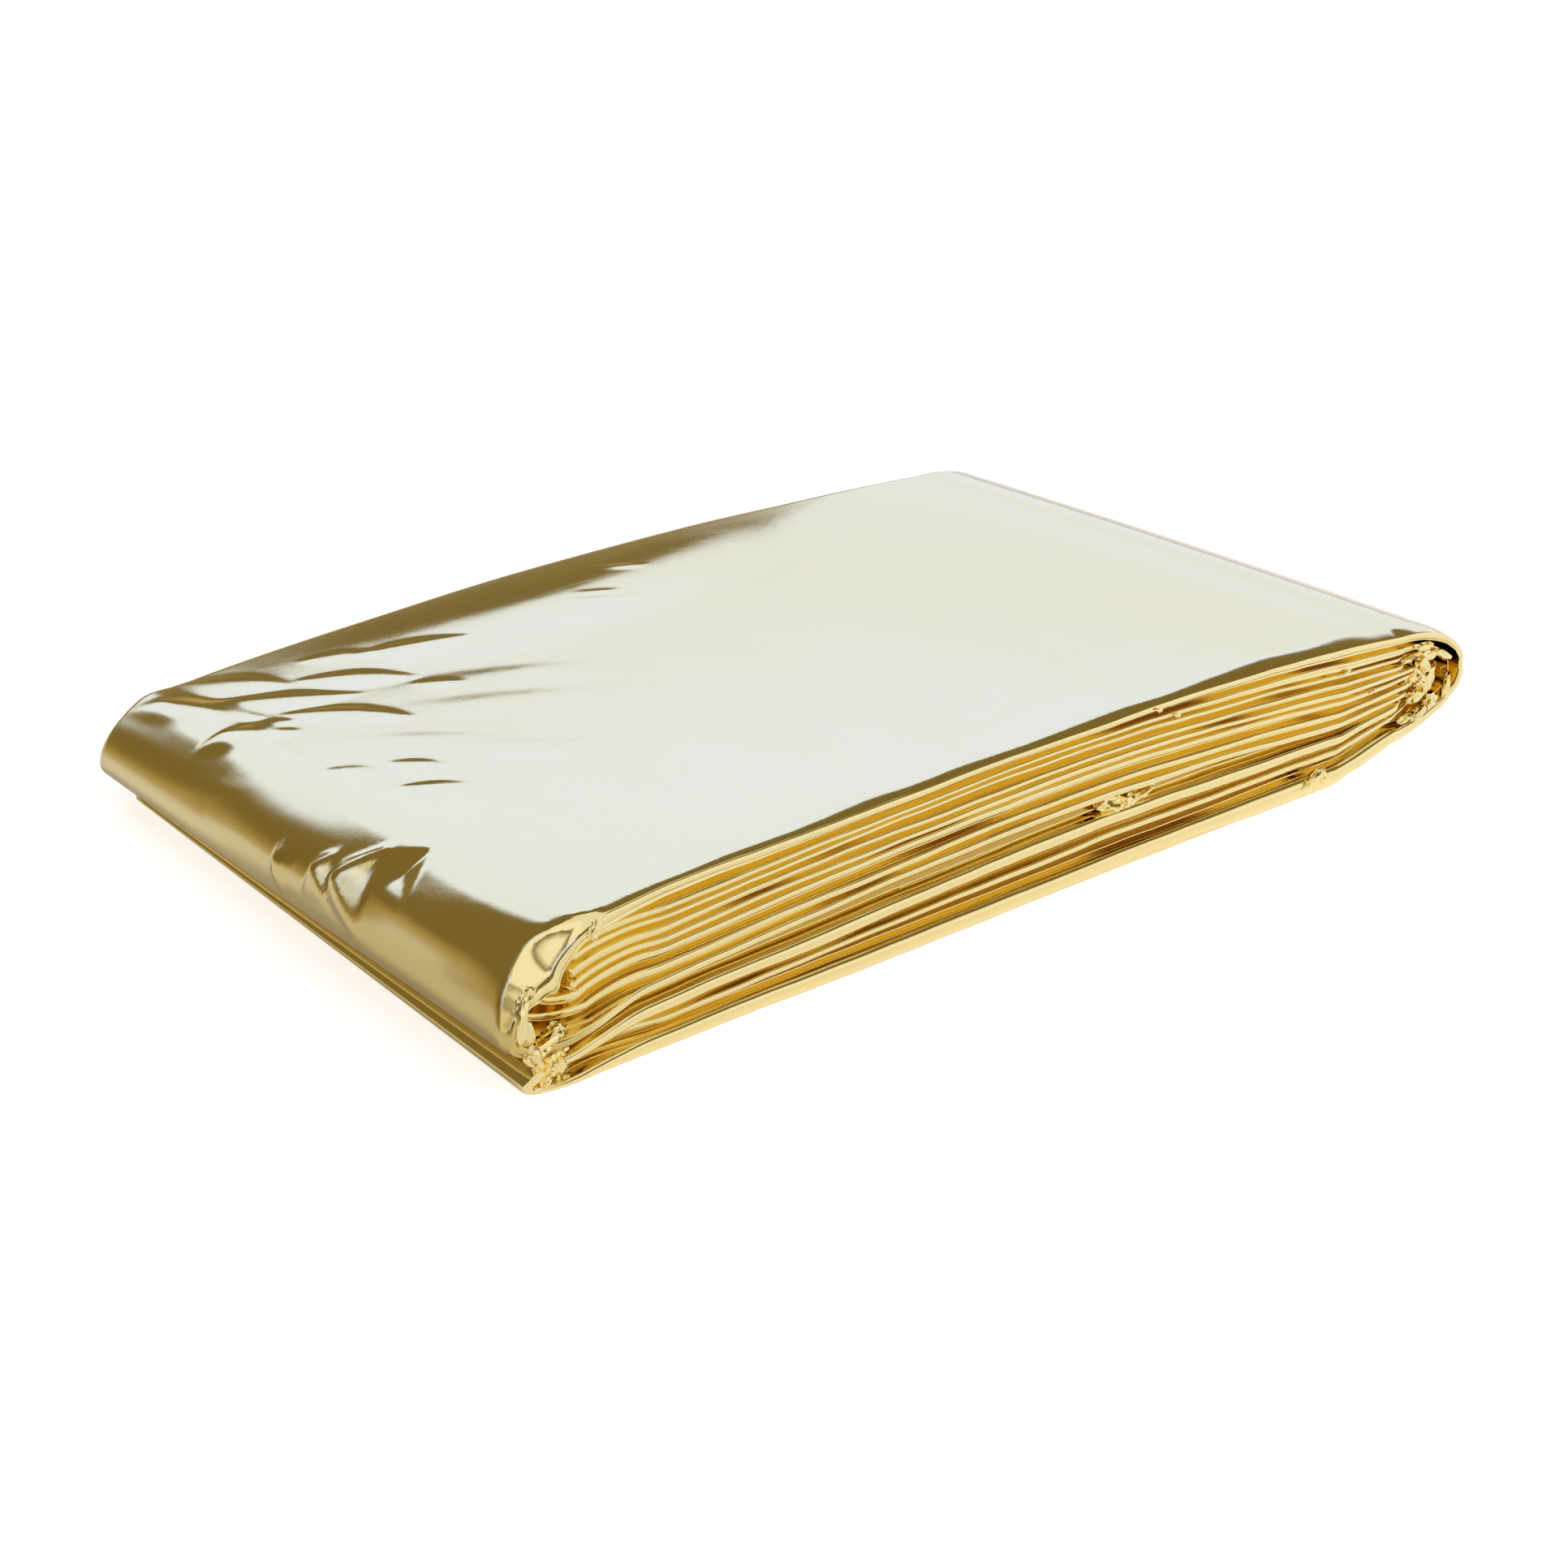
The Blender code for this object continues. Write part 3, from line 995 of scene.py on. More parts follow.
class NodeTree:
    """A node tree that is written as calls and expressions."""

    def __init__(self, tree: bpy.types.NodeTree) -> None:
        """Empties a tree and keeps it."""
        self.tree = tree
        tree.nodes.clear()

    def node(
        self, kind: str, settings: dict | None = None, inputs: dict | None = None, out: str | int = 0
    ) -> Value:
        """Adds a node.

        Args:
            kind: the node's type.
            settings: the node's own settings, set first.
            inputs: a value or a link for each socket, by its name or number.
            out: the name or number of the output socket to return.

        Returns:
            That output socket.
        """
        made = self.tree.nodes.new(kind)
        for name, value in (settings or {}).items():
            setattr(made, name, value)
        for name, value in (inputs or {}).items():
            if isinstance(value, Value):
                self.tree.links.new(value.socket, made.inputs[name])
            else:
                made.inputs[name].default_value = value
        return Value(self, made.outputs[out] if made.outputs else None)

    def parts(self, vector: Value) -> list[Value]:
        """The x, y and z of a vector."""
        apart = self.node("ShaderNodeSeparateXYZ", {}, {0: vector})
        return [Value(self, socket) for socket in apart.socket.node.outputs]

    def between(self, value: Value, low: Value | float, high: Value | float) -> Value:
        """A share that rises softly from 0 at low to 1 at high."""
        inputs = {"Value": value, "From Min": low, "From Max": high}
        return self.node("ShaderNodeMapRange", {"interpolation_type": "SMOOTHSTEP"}, inputs)

    def stretch(self, value: Value, rise: Span, fall: Span) -> Value:
        """A share that rises softly through one span and falls softly through the next."""
        return self.between(value, *rise) * (1.0 - self.between(value, *fall))

    def blend(self, factor: Value | float, a: object, b: object) -> Value:
        """A colour between a and b."""
        return self.node("ShaderNodeMix", {"data_type": "RGBA"}, {0: factor, 6: a, 7: b}, out=2)

    def grains(self, where: Value, scale: float, detail: float, roughness: float = 0.5) -> Value:
        """A noise pattern's value at a place."""
        inputs = {"Vector": where, "Scale": scale, "Detail": detail, "Roughness": roughness}
        return self.node("ShaderNodeTexNoise", {}, inputs, out="Fac")


class GeometryTree(NodeTree):
    """A geometry node tree with named inputs for its sizes."""

    def __init__(self, name: str) -> None:
        """Makes an empty tree that takes a geometry and gives one.

        Args:
            name: the tree's name.
        """
        super().__init__(bpy.data.node_groups.new(name, "GeometryNodeTree"))
        for side in ("INPUT", "OUTPUT"):
            self.tree.interface.new_socket("Geometry", in_out=side, socket_type="NodeSocketGeometry")
        self.start = self.node("NodeGroupInput").socket.node

    def size(self, name: str, kind: str = "NodeSocketFloat") -> Value:
        """Adds a named input and returns its socket inside the tree."""
        self.tree.interface.new_socket(name, in_out="INPUT", socket_type=kind)
        return Value(self, self.start.outputs[name])

    def base(self) -> Value:
        """The geometry that the tree takes."""
        return Value(self, self.start.outputs[0])

    def close(self, geometry: Value, material: bpy.types.Material) -> None:
        """Realises what the tree has made, gives it its material and passes it out.

        Args:
            geometry: what the tree has made.
            material: its finish.
        """
        real = self.node("GeometryNodeRealizeInstances", {}, {"Geometry": geometry})
        painted = self.node("GeometryNodeSetMaterial", {}, {"Geometry": real, "Material": material})
        self.node("NodeGroupOutput", {}, {"Geometry": painted})

    def grow(self, base: bpy.types.Object, values: dict[str, object]) -> bpy.types.Mesh:
        """The plain mesh that the tree makes from a base object.

        Args:
            base: the object that the tree starts from.
            values: a value for each named input.

        Returns:
            The finished mesh.
        """
        modifier = base.modifiers.new("grow", "NODES")
        modifier.node_group = self.tree
        for item in self.tree.interface.items_tree:
            if item.item_type == "SOCKET" and item.in_out == "INPUT" and item.name in values:
                modifier[item.identifier] = values[item.name]
        graph = bpy.context.evaluated_depsgraph_get()
        mesh = bpy.data.meshes.new_from_object(base.evaluated_get(graph))
        base.modifiers.remove(modifier)
        return mesh


def plain_object(name: str, data: bpy.types.ID) -> bpy.types.Object:
    """An object linked into the scene.

    Args:
        name: its name.
        data: its mesh, light or camera.

    Returns:
        The object.
    """
    made = bpy.data.objects.new(name, data)
    bpy.context.scene.collection.objects.link(made)
    return made


def one_piece(name: str, meshes: list[bpy.types.Mesh], material: bpy.types.Material) -> bpy.types.Object:
    """One smooth piece that holds all of these meshes.

    Args:
        name: the piece's name.
        meshes: the meshes.
        material: its finish.

    Returns:
        The piece.
    """
    whole = bmesh.new()
    for mesh in meshes:
        whole.from_mesh(mesh)
    made = bpy.data.meshes.new(name)
    whole.to_mesh(made)
    whole.free()
    made.materials.clear()
    made.materials.append(material)
    made.shade_smooth()
    return plain_object(name, made)


@dataclass(frozen=True)
class PlyEdge:
    """The thin front edge of one ply, which shows between two rolls.

    It lies in a layer, at a share of the way down its face. Its start and its end along the packet, and how
    far it stands out from the face, are in millimetres.
    """

    layer: int
    share: float
    start: float
    end: float
    out: float


@dataclass
class PlyEdges:
    """The single plies that stand out between the rolls, each grown along its layer by one node tree."""

    edges: tuple[PlyEdge, ...]
    step: float = 0.7 * MM
    thickness: float = 0.13 * MM
    width: float = 1.5 * MM
    wander: float = 0.16 * MM
    reach: float = 0.7 * MM
    wave: float = 11.0 * MM
    inputs: tuple[str, ...] = ("Step", "Thickness", "Width", "Wander", "Reach", "Wave")
    corners: int = 8

    def tree(self, material: bpy.types.Material) -> GeometryTree:
        """The tree that sweeps a flat oval along a line, which wanders up and down and in and out.

        Args:
            material: the film's finish.

        Returns:
            The tree, with an input for each of the sizes and one called Seed.
        """
        tree = GeometryTree("ply_edge")
        step, thickness, width, wander, reach, wave = (tree.size(name) for name in self.inputs)
        seed = tree.size("Seed")
        line = tree.node("GeometryNodeMeshToCurve", {}, {0: tree.base()})
        even = tree.node("GeometryNodeResampleCurve", {"mode": "LENGTH"}, {"Curve": line, "Length": step})
        place = tree.node("GeometryNodeInputPosition")
        pattern = {"Vector": place, "W": seed, "Scale": 1.0 / wave, "Detail": 2.0}
        noisy = tree.node("ShaderNodeTexNoise", {"noise_dimensions": "4D"}, pattern, out="Color")
        inward, upward, _ = tree.parts(noisy)
        shift = tree.node("ShaderNodeCombineXYZ", {}, {1: (inward - 0.5) * reach, 2: (upward - 0.5) * wander})
        moved = tree.node("GeometryNodeSetPosition", {}, {"Geometry": even, "Offset": shift})
        level = tree.node("GeometryNodeSetCurveNormal", {"mode": "Z_UP"}, {0: moved})
        ring = tree.node("GeometryNodeCurvePrimitiveCircle", {}, {"Resolution": self.corners, "Radius": 0.5})
        size = tree.node("ShaderNodeCombineXYZ", {}, {0: thickness, 1: width, 2: 1.0})
        oval = tree.node("GeometryNodeTransform", {}, {0: ring, "Scale": size})
        sweep = {"Curve": level, "Profile Curve": oval, "Fill Caps": True}
        tree.close(tree.node("GeometryNodeCurveToMesh", {}, sweep), material)
        return tree

    def build(self, strip: StripMesh, material: bpy.types.Material) -> bpy.types.Object:
        """Builds all the edges as one piece.

        Args:
            strip: the built strip, on whose layers the edges lie.
            material: the film's finish.

        Returns:
            The piece.
        """
        tree = self.tree(material)
        values = {name: getattr(self, name.lower()) for name in self.inputs}
        meshes = []
        for number, edge in enumerate(self.edges):
            line = strip.face_line(edge.layer, edge.share)
            line = line[(line[:, 0] >= edge.start * MM) & (line[:, 0] <= edge.end * MM)]
            line[:, 1] += self.width / 2 - edge.out * MM
            mesh = bpy.data.meshes.new("ply_guide")
            mesh.from_pydata(line.tolist(), [(i, i + 1) for i in range(len(line) - 1)], [])
            guide = plain_object("ply_guide", mesh)
            meshes.append(tree.grow(guide, values | {"Seed": float(number)}))
            bpy.data.objects.remove(guide)
        return one_piece("ply_edges", meshes, material)


@dataclass(frozen=True)
class Crumple:
    """A small crushed bit of film: a flattened lump with sharp facets, in millimetres and degrees."""

    centre: tuple[float, float, float]
    size: tuple[float, float, float]
    facet: float
    depth: float
    turn: float
    tip: float
    seed: int


@dataclass
class Crumples:
    """The crushed corners and tucks of the packet, all grown by one geometry node tree."""

    bits: tuple[Crumple, ...]
    level: float = 0.45
    pits: Span = (0.22, 0.55)
    pit_shade: float = 0.85
    floor_share: float = 0.62
    sharp: float = math.radians(24.0)

    def tree(self, material: bpy.types.Material) -> GeometryTree:
        """The tree that pushes a round lump in and out by facets, paints shade into the pits between them,
        and then scales it.

        Args:
            material: the film's finish.

        Returns:
            The tree, with the inputs Size, Facet, Depth and Seed.
        """
        tree = GeometryTree("crumple")
        size = tree.size("Size", "NodeSocketVector")
        facet, depth, seed = (tree.size(name) for name in ("Facet", "Depth", "Seed"))
        cells = {"Vector": tree.node("GeometryNodeInputPosition"), "W": seed, "Scale": facet}
        kind = {"voronoi_dimensions": "4D", "feature": "F1"}
        away = tree.node("ShaderNodeTexVoronoi", kind, cells, out="Distance")
        push = {0: tree.node("GeometryNodeInputNormal"), "Scale": (away - self.level) * depth}
        shift = tree.node("ShaderNodeVectorMath", {"operation": "SCALE"}, push)
        pushed = tree.node("GeometryNodeSetPosition", {}, {"Geometry": tree.base(), "Offset": shift})
        # Painted shade in the pits, stored as the shade attribute that the film's material reads.
        low, high = self.pits
        shading = {"Value": away, "From Min": low, "From Max": high, "To Min": self.pit_shade, "To Max": 0.0}
        shade = tree.node("ShaderNodeMapRange", {}, shading)
        kind = {"data_type": "FLOAT", "domain": "POINT"}
        named = {"Geometry": pushed, "Name": SHADE, "Value": shade}
        marked = tree.node("GeometryNodeStoreNamedAttribute", kind, named)
        tree.close(tree.node("GeometryNodeTransform", {}, {"Geometry": marked, "Scale": size}), material)
        return tree

    def build(self, form: PacketForm, material: bpy.types.Material) -> bpy.types.Object:
        """Builds all the crumples as one piece.

        Args:
            form: the packet's form, which says how far the layers have settled at each crumple.
            material: the film's finish.

        Returns:
            The piece.
        """
        tree = self.tree(material)
        ball = bmesh.new()
        bmesh.ops.create_icosphere(ball, subdivisions=3, radius=1.0)
        ball_mesh = bpy.data.meshes.new("ball")
        ball.to_mesh(ball_mesh)
        ball.free()
        base = plain_object("crumple_base", ball_mesh)
        meshes = []
        for bit in self.bits:
            values = {"Size": [side / 2 * MM for side in bit.size], "Facet": bit.facet, "Depth": bit.depth}
            mesh = tree.grow(base, values | {"Seed": float(bit.seed)})
            turned = Matrix.Rotation(math.radians(bit.turn), 4, "Z")
            tipped = Matrix.Rotation(math.radians(bit.tip), 4, "Y")
            centre = Vector(bit.centre) * MM
            settled = form.settled(centre.x, np.array([centre.z]), np.zeros(1), np.ones(1))
            centre.z = max(float(settled[0]), bit.size[2] * self.floor_share * MM)
            mesh.transform(Matrix.Translation(centre) @ turned @ tipped)
            meshes.append(mesh)
        bpy.data.objects.remove(base)
        piece = one_piece("crumples", meshes, material)
        piece.data.set_sharp_from_angle(angle=self.sharp)
        return piece


CRUSHED_BITS = tuple(Crumple(*row) for row in (
    ((-66.0, -41.9, 3.4), (2.0, 1.8, 4.4), 1.6, 1.1, 20, -30, 1),
    ((-64.2, -42.2, 3.6), (3.2, 1.6, 2.6), 1.5, 1.1, 20, -30, 21),
    ((-65.4, -41.9, 1.5), (2.4, 1.6, 1.8), 1.8, 1.1, 40, -20, 4),
    ((-65.2, -41.8, 6.9), (4.2, 1.8, 1.3), 1.7, 1.1, 14, -14, 2),
    ((-63.8, -41.6, 7.6), (1.6, 1.6, 1.4), 1.5, 1.0, 14, 30, 22),
    ((-60.4, -43.4, 15.9), (1.0, 0.9, 1.9), 1.8, 1.0, 10, 14, 3),
    ((-68.0, -42.0, 10.2), (0.9, 1.2, 4.4), 1.4, 0.9, 30, 20, 5),
    ((-67.2, -41.9, 8.4), (0.9, 1.2, 3.0), 1.5, 0.9, 30, -6, 23),
    ((-66.4, -41.6, 12.0), (1.8, 1.2, 1.0), 1.6, 0.9, 20, 35, 6),
    ((9.8, -42.2, 8.1), (3.2, 1.8, 1.6), 1.6, 1.3, 6, 10, 7),
    ((12.4, -42.2, 8.0), (2.2, 1.6, 1.6), 1.6, 1.3, -6, -40, 8),
    ((14.8, -42.2, 8.0), (3.2, 1.2, 0.8), 1.6, 1.1, -6, -20, 24),
    ((43.0, -43.4, 2.3), (3.4, 1.1, 1.2), 1.7, 1.1, 8, -18, 9),
    ((44.8, -43.5, 1.8), (1.2, 0.9, 1.6), 1.5, 1.0, 8, -50, 25),
    ((63.2, -42.4, 13.0), (3.0, 1.4, 1.2), 1.4, 1.0, 0, 24, 10),
    ((59.4, -43.0, 13.3), (3.4, 0.8, 0.6), 1.3, 0.8, 0, -8, 14),
    ((62.6, -42.4, 11.6), (2.4, 1.4, 1.5), 1.6, 1.1, 0, 50, 11),
    ((60.8, -42.4, 10.6), (2.2, 1.4, 1.2), 1.6, 1.1, 0, -30, 15),
    ((64.6, -41.9, 9.4), (1.5, 1.4, 3.6), 1.5, 1.1, 0, 16, 16),
    ((62.6, -42.2, 9.4), (2.0, 1.4, 1.4), 1.7, 1.1, 0, 40, 26),
    ((62.4, -42.3, 7.7), (2.8, 1.4, 1.3), 1.6, 1.1, 0, -24, 12),
    ((64.9, -42.4, 6.1), (2.4, 1.4, 1.6), 1.4, 1.0, 0, -40, 17),
    ((62.2, -42.8, 5.2), (2.6, 1.2, 0.9), 1.4, 1.0, 0, -36, 18),
    ((59.8, -42.9, 5.4), (2.6, 1.2, 0.8), 1.4, 1.0, 0, -10, 19),
    ((67.2, -42.8, 7.6), (0.8, 1.0, 3.6), 1.2, 0.8, 0, 10, 13),
    ((65.8, -42.9, 12.2), (3.0, 1.0, 0.9), 1.4, 1.0, 0, 30, 30),
    ((61.6, -43.0, 14.3), (3.4, 0.9, 0.9), 1.4, 1.0, 0, 10, 31),
    ((15.4, -43.3, 18.1), (0.8, 0.3, 0.5), 1.3, 0.8, 0, 20, 32),
    ((18.3, -43.4, 16.8), (0.9, 0.3, 0.5), 1.3, 0.8, 0, 20, 33),
    ((47.2, -43.3, 14.6), (1.2, 0.3, 0.35), 1.2, 0.8, 0, -14, 27),
    ((52.6, -43.2, 10.8), (0.9, 0.3, 0.35), 1.2, 0.8, 0, -14, 28),
))
PLY_EDGES = tuple(PlyEdge(*row) for row in (
    (8, 0.25, -64.0, 54.0, 0.25),
    (8, 0.55, -64.0, 20.0, 0.30),
    (8, 0.80, -20.0, 50.0, 0.20),
    (6, 0.45, -64.0, 52.0, 0.25),
    (10, 0.40, -64.0, -4.0, 0.30),
    (10, 0.60, 18.0, 52.0, 0.25),
    (7, 0.50, -64.0, -14.0, 0.20),
    (9, 0.60, 16.0, 50.0, 0.25),
))


@dataclass
class FoilBlanket:
    """The folded blanket: one strip of film with its creases, its crushed bits and its single ply edges."""

    form: PacketForm = field(default_factory=PacketForm)
    flat: Span = (87.5 * MM, 1590.0 * MM)

    def build(self, material: bpy.types.Material) -> tuple[bpy.types.Object, ...]:
        """Builds the blanket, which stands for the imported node.

        Args:
            material: the film's finish.

        Returns:
            The film and the two small pieces that belong to it.
        """
        strip = StripMesh(StripPath(self.form).build(), CREASES)
        piece = plain_object("blanket_film", strip.build())
        piece.data.materials.append(material)
        crumples = Crumples(CRUSHED_BITS).build(self.form, material)
        plies = PlyEdges(PLY_EDGES).build(strip, material)
        for part in (piece, crumples, plies):
            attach(part, BODY)
        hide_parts(NODE)
        return piece, crumples, plies


@dataclass(frozen=True)
class GoldFilm:
    """Gold-coloured metallised film: a near mirror with faint grain and handling marks, with painted shade in
    its gaps and on its turned-down left face.

    A pair of lengths says where on the film, along it or across it, a mark sets in and where it is full, or
    where it starts to fade and where it is gone.
    """

    colour: Colour = (0.94, 0.79, 0.40, 1.0)
    # Painted shade: the film is painted amber and then dark brown where the pieces' shade attribute marks
    # gaps, slits and pits.
    painted_amber_shade: Colour = (0.91, 0.78, 0.38, 1.0)
    shaded: Colour = (0.34, 0.15, 0.03, 1.0)
    # deep and the three sizes after it are painted shade: a darker gold where the film turns down at the
    # left.
    deep: Colour = (0.68, 0.52, 0.19, 1.0)
    left_shade_along: tuple[Span, Span] = (millimetres(-84.0, -80.0), millimetres(-71.5, -67.0))
    left_shade_across: Span = millimetres(-30.0, 30.0)
    left_shade_fade: float = 0.7
    worn_along: tuple[Span, Span] = (millimetres(-82.0, -78.0), millimetres(-69.0, -62.0))
    worn_across: Span = millimetres(36.0, 42.0)
    worn_back: float = 0.6
    roughness: float = 0.07
    grain_roughness: float = 0.05
    worn_roughness: float = 0.06
    grain_size: float = 0.35 * MM
    grain_depth: float = 0.004 * MM
    ripple_size: float = 6.0 * MM
    ripple_depth: float = 0.02 * MM
    speckle_size: float = 0.13 * MM
    worn_depth: float = 0.009 * MM
    scratch_depth: float = 0.0025 * MM
    grain_limits: Span = (0.45, 0.75)
    scratch_limits: Span = (0.70, 0.75)
    scratch_turn: tuple[float, ...] = (0.0, 0.0, -0.5)
    scratch_scale: tuple[float, ...] = (22.0, 900.0, 1.0)
    coat: float = 0.3
    coat_ior: float = 1.6

    def material(self) -> bpy.types.Material:
        """Makes the material.

        Returns:
            The material, which reads the film's own map and the painted shade that the pieces carry.
        """
        material = bpy.data.materials.new(SLOT)
        material.use_nodes = True
        tree = NodeTree(material.node_tree)
        where = tree.node("ShaderNodeTexCoord", out="Object")
        grain = tree.grains(where, 1 / self.grain_size, 3.0, 0.6)
        ripple = tree.grains(where, 1 / self.ripple_size, 2.0)
        speckle = tree.grains(where, 1 / self.speckle_size, 2.0, 0.7)
        # The shade attribute is painted shade: 0 leaves the gold, 0.5 paints it amber and 1 dark brown.
        inside = tree.node("ShaderNodeAttribute", {"attribute_name": SHADE}, out="Fac")
        along, across, _ = tree.parts(tree.node("ShaderNodeUVMap", {"uv_map": FILM_MAP}))
        # Painted shade: where the film turns down at the left it is painted a deeper gold, mostly towards the
        # front.
        painted_left_shade = tree.stretch(along, *self.left_shade_along)
        painted_left_shade = painted_left_shade * (1.0 - tree.between(across, *self.left_shade_across) * self.left_shade_fade)
        gold = tree.blend(painted_left_shade, self.colour, self.deep)
        recess_painted_shade = tree.blend(tree.between(inside, 0.0, 0.5), gold, self.painted_amber_shade)
        # The coating has worn to fine grain where the film bends round the left fold and the back edge.
        bend = tree.stretch(along, *self.worn_along)
        worn = bend + tree.between(across, *self.worn_across) * self.worn_back
        # A few long faint scratches run aslant over the top.
        slant = {"Vector": where, "Rotation": self.scratch_turn, "Scale": self.scratch_scale}
        streak = tree.grains(tree.node("ShaderNodeMapping", {}, slant), 1.0, 1.0)
        scratches = tree.between(streak, *self.scratch_limits) * (1.0 - bend)
        roughness = self.roughness + tree.between(grain, *self.grain_limits) * self.grain_roughness
        height = grain * self.grain_depth + ripple * self.ripple_depth + scratches * self.scratch_depth
        height = height + speckle * worn * self.worn_depth
        relief = {"Strength": 1.0, "Distance": 1.0, "Height": height}
        finish = {
            # Painted shade darkens the base colour in the gaps, slits and pits.
            "Base Color": tree.blend(tree.between(inside, 0.5, 1.0), recess_painted_shade, self.shaded),
            "Metallic": 1.0,
            "Roughness": roughness + worn * self.worn_roughness,
            "Coat Weight": self.coat,
            "Coat IOR": self.coat_ior,
            "Normal": tree.node("ShaderNodeBump", {}, relief, out="Normal"),
        }
        shader = tree.node("ShaderNodeBsdfPrincipled", {}, finish)
        tree.node("ShaderNodeOutputMaterial", {}, {"Surface": shader})
        return material


@dataclass(frozen=True)
class Surroundings:
    """The light round the object by direction: a bright band round the horizon, a ceiling and a dim room.

    Azimuths run from +X by the back, at 90 degrees, to the left. A pair of angles says where a part sets in
    and where it is full, or where it starts to fade and where it is gone.
    """

    step_from: Span = (49.6, 51.6)
    step_height: float = 11.6
    slant_from: Span = (49.0, 62.0)
    slant_rise: float = 5.4
    opening: tuple[Span, Span] = ((102.0, 107.0), (160.0, 175.0))
    front_to: Span = (-10.0, 15.0)
    left_from: Span = (46.0, 54.0)
    band_top: float = 20.0
    rise_from: Span = (27.0, 52.0)
    band_rise: float = 18.0
    left_rise: float = 4.0
    front_top: float = 17.0
    lower_edge: Span = (-0.8, 0.8)
    upper_edge: float = 5.0
    front_edge: float = 9.0
    behind_to: Span = (-85.0, -65.0)
    behind_from: Span = (30.0, 34.0)
    key_from: Span = (-20.0, 25.0)
    key_rise: Span = (14.0, 25.0)
    ceiling_from: Span = (72.0, 80.0)
    front_ceiling: float = 22.0
    dim_rise: Span = (2.0, 12.0)
    warm: Colour = (0.98, 0.97, 0.93, 1.0)
    key_low: Colour = (0.82, 0.93, 1.20, 1.0)
    key_high: Colour = (0.83, 1.00, 1.62, 1.0)
    dim_low: Colour = (0.50, 0.38, 0.16, 1.0)
    dim_high: Colour = (0.20, 0.15, 0.05, 1.0)
    ceiling: Colour = (0.85, 0.85, 0.83, 1.0)
    seen_straight: Colour = (1.0, 1.0, 1.0, 1.0)

    def band(self, tree: NodeTree, azimuth: Value, elevation: Value, front: Value) -> Value:
        """Where the bright band stands, open at the back left, where its lower edge slants up.

        Args:
            tree: the world's tree.
            azimuth: the direction's azimuth in degrees.
            elevation: its elevation in degrees.
            front: the share by which it lies in front.

        Returns:
            The band's share of the light.
        """
        rise = tree.between(azimuth, *self.slant_from) * self.slant_rise
        lower = tree.between(azimuth, *self.step_from) * (self.step_height + rise)
        opening = tree.stretch(azimuth, *self.opening)
        limit = self.band_top + tree.between(azimuth, *self.rise_from) * self.band_rise
        limit = limit + tree.between(azimuth, *self.left_from) * self.left_rise
        above = elevation - limit * (1.0 - front) - front * self.front_top
        upper = 1.0 - tree.between(above, 0.0, self.upper_edge + front * self.front_edge)
        return tree.between(elevation - lower, *self.lower_edge) * upper * (1.0 - opening)

    def build(self) -> None:
        """Makes the world and makes it the scene's."""
        world = bpy.data.worlds.new("studio")
        bpy.context.scene.world = world
        world.use_nodes = True
        tree = NodeTree(world.node_tree)
        x, y, z = tree.parts(tree.node("ShaderNodeTexCoord", out="Generated"))
        azimuth = tree.node("ShaderNodeMath", {"operation": "ARCTAN2"}, {0: y, 1: x}) * (180 / math.pi)
        elevation = tree.node("ShaderNodeMath", {"operation": "ARCSINE"}, {0: z}) * (180 / math.pi)
        front = 1.0 - tree.between(azimuth, *self.front_to)
        key = tree.blend(tree.between(elevation, *self.key_rise), self.key_low, self.key_high)
        band_colour = tree.blend(tree.between(azimuth, *self.key_from), self.warm, key)
        dim = tree.blend(tree.between(elevation, *self.dim_rise), self.dim_low, self.dim_high)
        colour = tree.blend(self.band(tree, azimuth, elevation, front), dim, band_colour)
        # Behind the camera the band goes on up into the ceiling.
        behind = (1.0 - tree.between(azimuth, *self.behind_to)) * tree.between(elevation, *self.behind_from)
        colour = tree.blend(behind, colour, self.warm)
        overhead = tree.between(elevation + front * self.front_ceiling, *self.ceiling_from)
        colour = tree.blend(overhead, colour, self.ceiling)
        # Seen straight, the room behind the floor is as pale as the floor.
        seen = tree.node("ShaderNodeLightPath", out="Is Camera Ray")
        colour = tree.blend(seen, colour, self.seen_straight)
        background = tree.node("ShaderNodeBackground", {}, {"Color": colour, "Strength": 1.0})
        tree.node("ShaderNodeOutputWorld", {}, {"Surface": background})


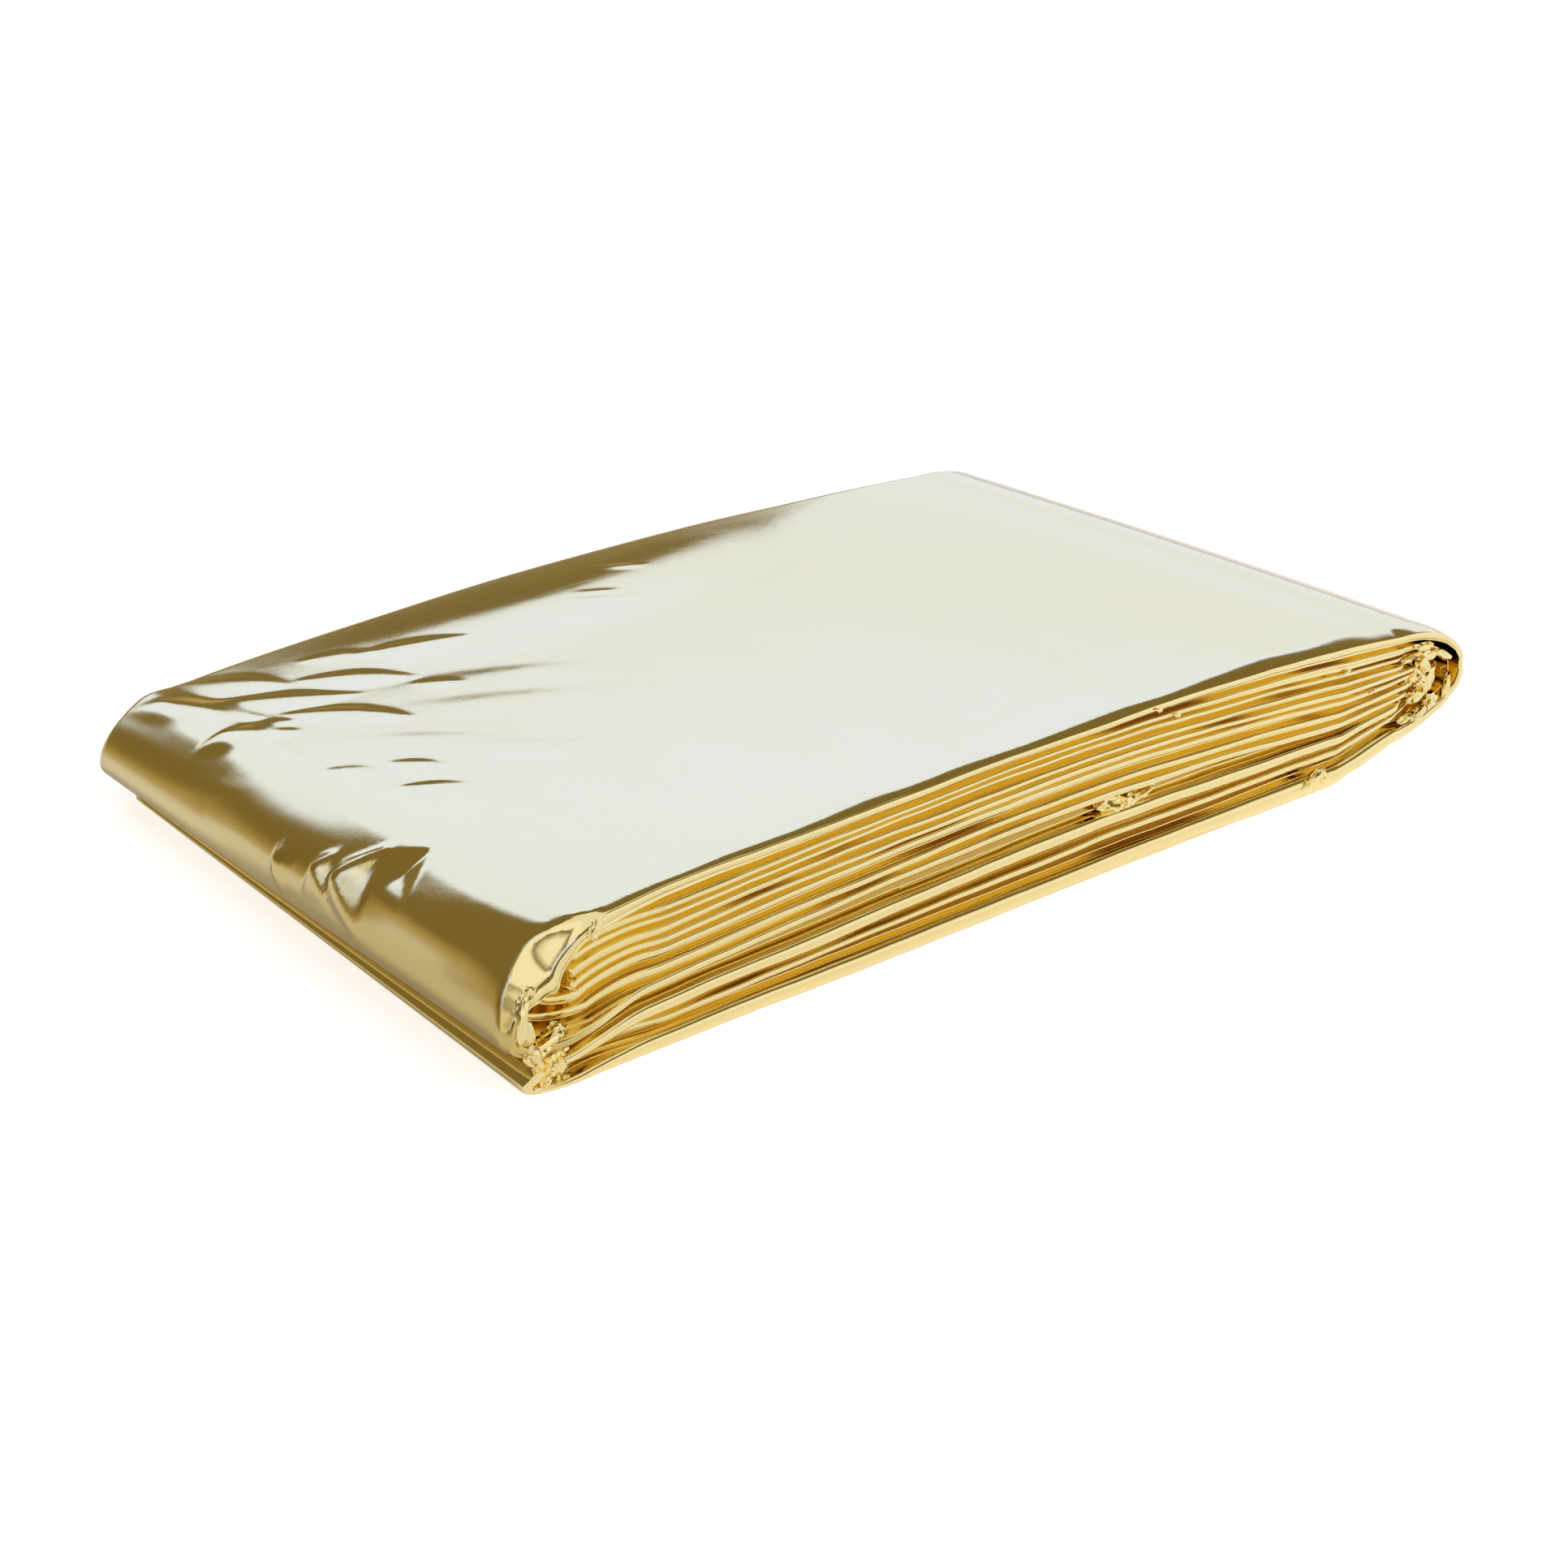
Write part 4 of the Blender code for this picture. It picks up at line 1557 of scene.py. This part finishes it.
@dataclass
class Studio:
    """A pale floor and plain soft light round the object."""

    floor_half: float = 4.0
    floor_drop: float = 0.05 * MM
    floor_colour: Colour = (0.82, 0.82, 0.82, 1.0)
    floor_lift: float = 0.62
    lamp_place: tuple[float, float, float] = (0.35, -0.45, 0.55)
    lamp_size: float = 0.4
    lamp_power: float = 4.2
    bounces: int = 14
    mirror_bounces: int = 10

    def floor(self) -> None:
        """Makes the floor under the object."""
        half = self.floor_half
        mesh = bpy.data.meshes.new("floor")
        corners = [(-half, -half, 0), (half, -half, 0), (half, half, 0), (-half, half, 0)]
        mesh.from_pydata(corners, [], [(0, 1, 2, 3)])
        material = bpy.data.materials.new("floor_paint")
        material.use_nodes = True
        tree = NodeTree(material.node_tree)
        seen = tree.node("ShaderNodeLightPath", out="Is Camera Ray")
        finish = {
            "Base Color": self.floor_colour,
            "Roughness": 0.9,
            "Specular IOR Level": 0.1,
            "Emission Color": seen * self.floor_lift,
            "Emission Strength": 1.0,
        }
        paint = tree.node("ShaderNodeBsdfPrincipled", {}, finish)
        tree.node("ShaderNodeOutputMaterial", {}, {"Surface": paint})
        mesh.materials.append(material)
        floor = plain_object("floor", mesh)
        floor.location.z = -self.floor_drop

    def lamp(self) -> None:
        """Makes a wide soft lamp overhead, which lights the floor and isn't mirrored."""
        data = bpy.data.lights.new("overhead", "AREA")
        data.shape = "DISK"
        data.size = self.lamp_size
        data.energy = self.lamp_power
        light = plain_object("overhead", data)
        light.location = self.lamp_place
        light.rotation_euler = Vector(self.lamp_place).to_track_quat("Z", "Y").to_euler()
        light.visible_glossy = False

    def build(self) -> None:
        """Makes the floor and the light, and the plain view transform."""
        self.floor()
        Surroundings().build()
        self.lamp()
        scene = bpy.context.scene
        scene.view_settings.view_transform = "Standard"
        scene.cycles.glossy_bounces = self.mirror_bounces
        scene.cycles.max_bounces = self.bounces
        scene.cycles.blur_glossy = 0.0


@dataclass(frozen=True)
class PhotoCamera:
    """The camera at the photograph's viewing angle."""

    target: tuple[float, ...] = millimetres(-4.26, -2.74, 0.0)
    distance: float = 317.63 * MM
    yaw: float = math.radians(-39.4704)
    pitch: float = math.radians(24.7191)
    roll: float = math.radians(0.7284)
    lens: float = 61.557
    sensor: float = 36.0
    nearest: float = 0.01
    farthest: float = 50.0

    def build(self) -> bpy.types.Object:
        """Makes the camera and makes it the scene's.

        Returns:
            The camera.
        """
        flat = math.cos(self.pitch)
        back = Vector((math.sin(self.yaw) * flat, -math.cos(self.yaw) * flat, math.sin(self.pitch)))
        level = (-back).cross(Vector((0, 0, 1))).normalized()
        upright = level.cross(-back)
        right = math.cos(self.roll) * level + math.sin(self.roll) * upright
        up = math.cos(self.roll) * upright - math.sin(self.roll) * level
        data = bpy.data.cameras.new("camera")
        data.sensor_width = self.sensor
        data.lens = self.lens
        data.clip_start = self.nearest
        data.clip_end = self.farthest
        camera = plain_object("camera", data)
        turned = Matrix((right, up, back)).transposed().to_4x4()
        turned.translation = Vector(self.target) + back * self.distance
        camera.matrix_world = turned
        bpy.context.scene.camera = camera
        return camera


def main() -> None:
    """Builds the blanket and the studio, and reports each."""
    logging.basicConfig(level=logging.INFO, format="%(name)s: %(message)s")
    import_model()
    film = GoldFilm().material()
    for piece in FoilBlanket().build(film):
        LOG.info("%s: %d faces", piece.name, len(piece.data.polygons))
    Studio().build()
    LOG.info("studio: floor, surroundings and lamp")
    camera = PhotoCamera().build()
    LOG.info("camera: lens %.1f mm", camera.data.lens)


if __name__ == "__main__":
    main()
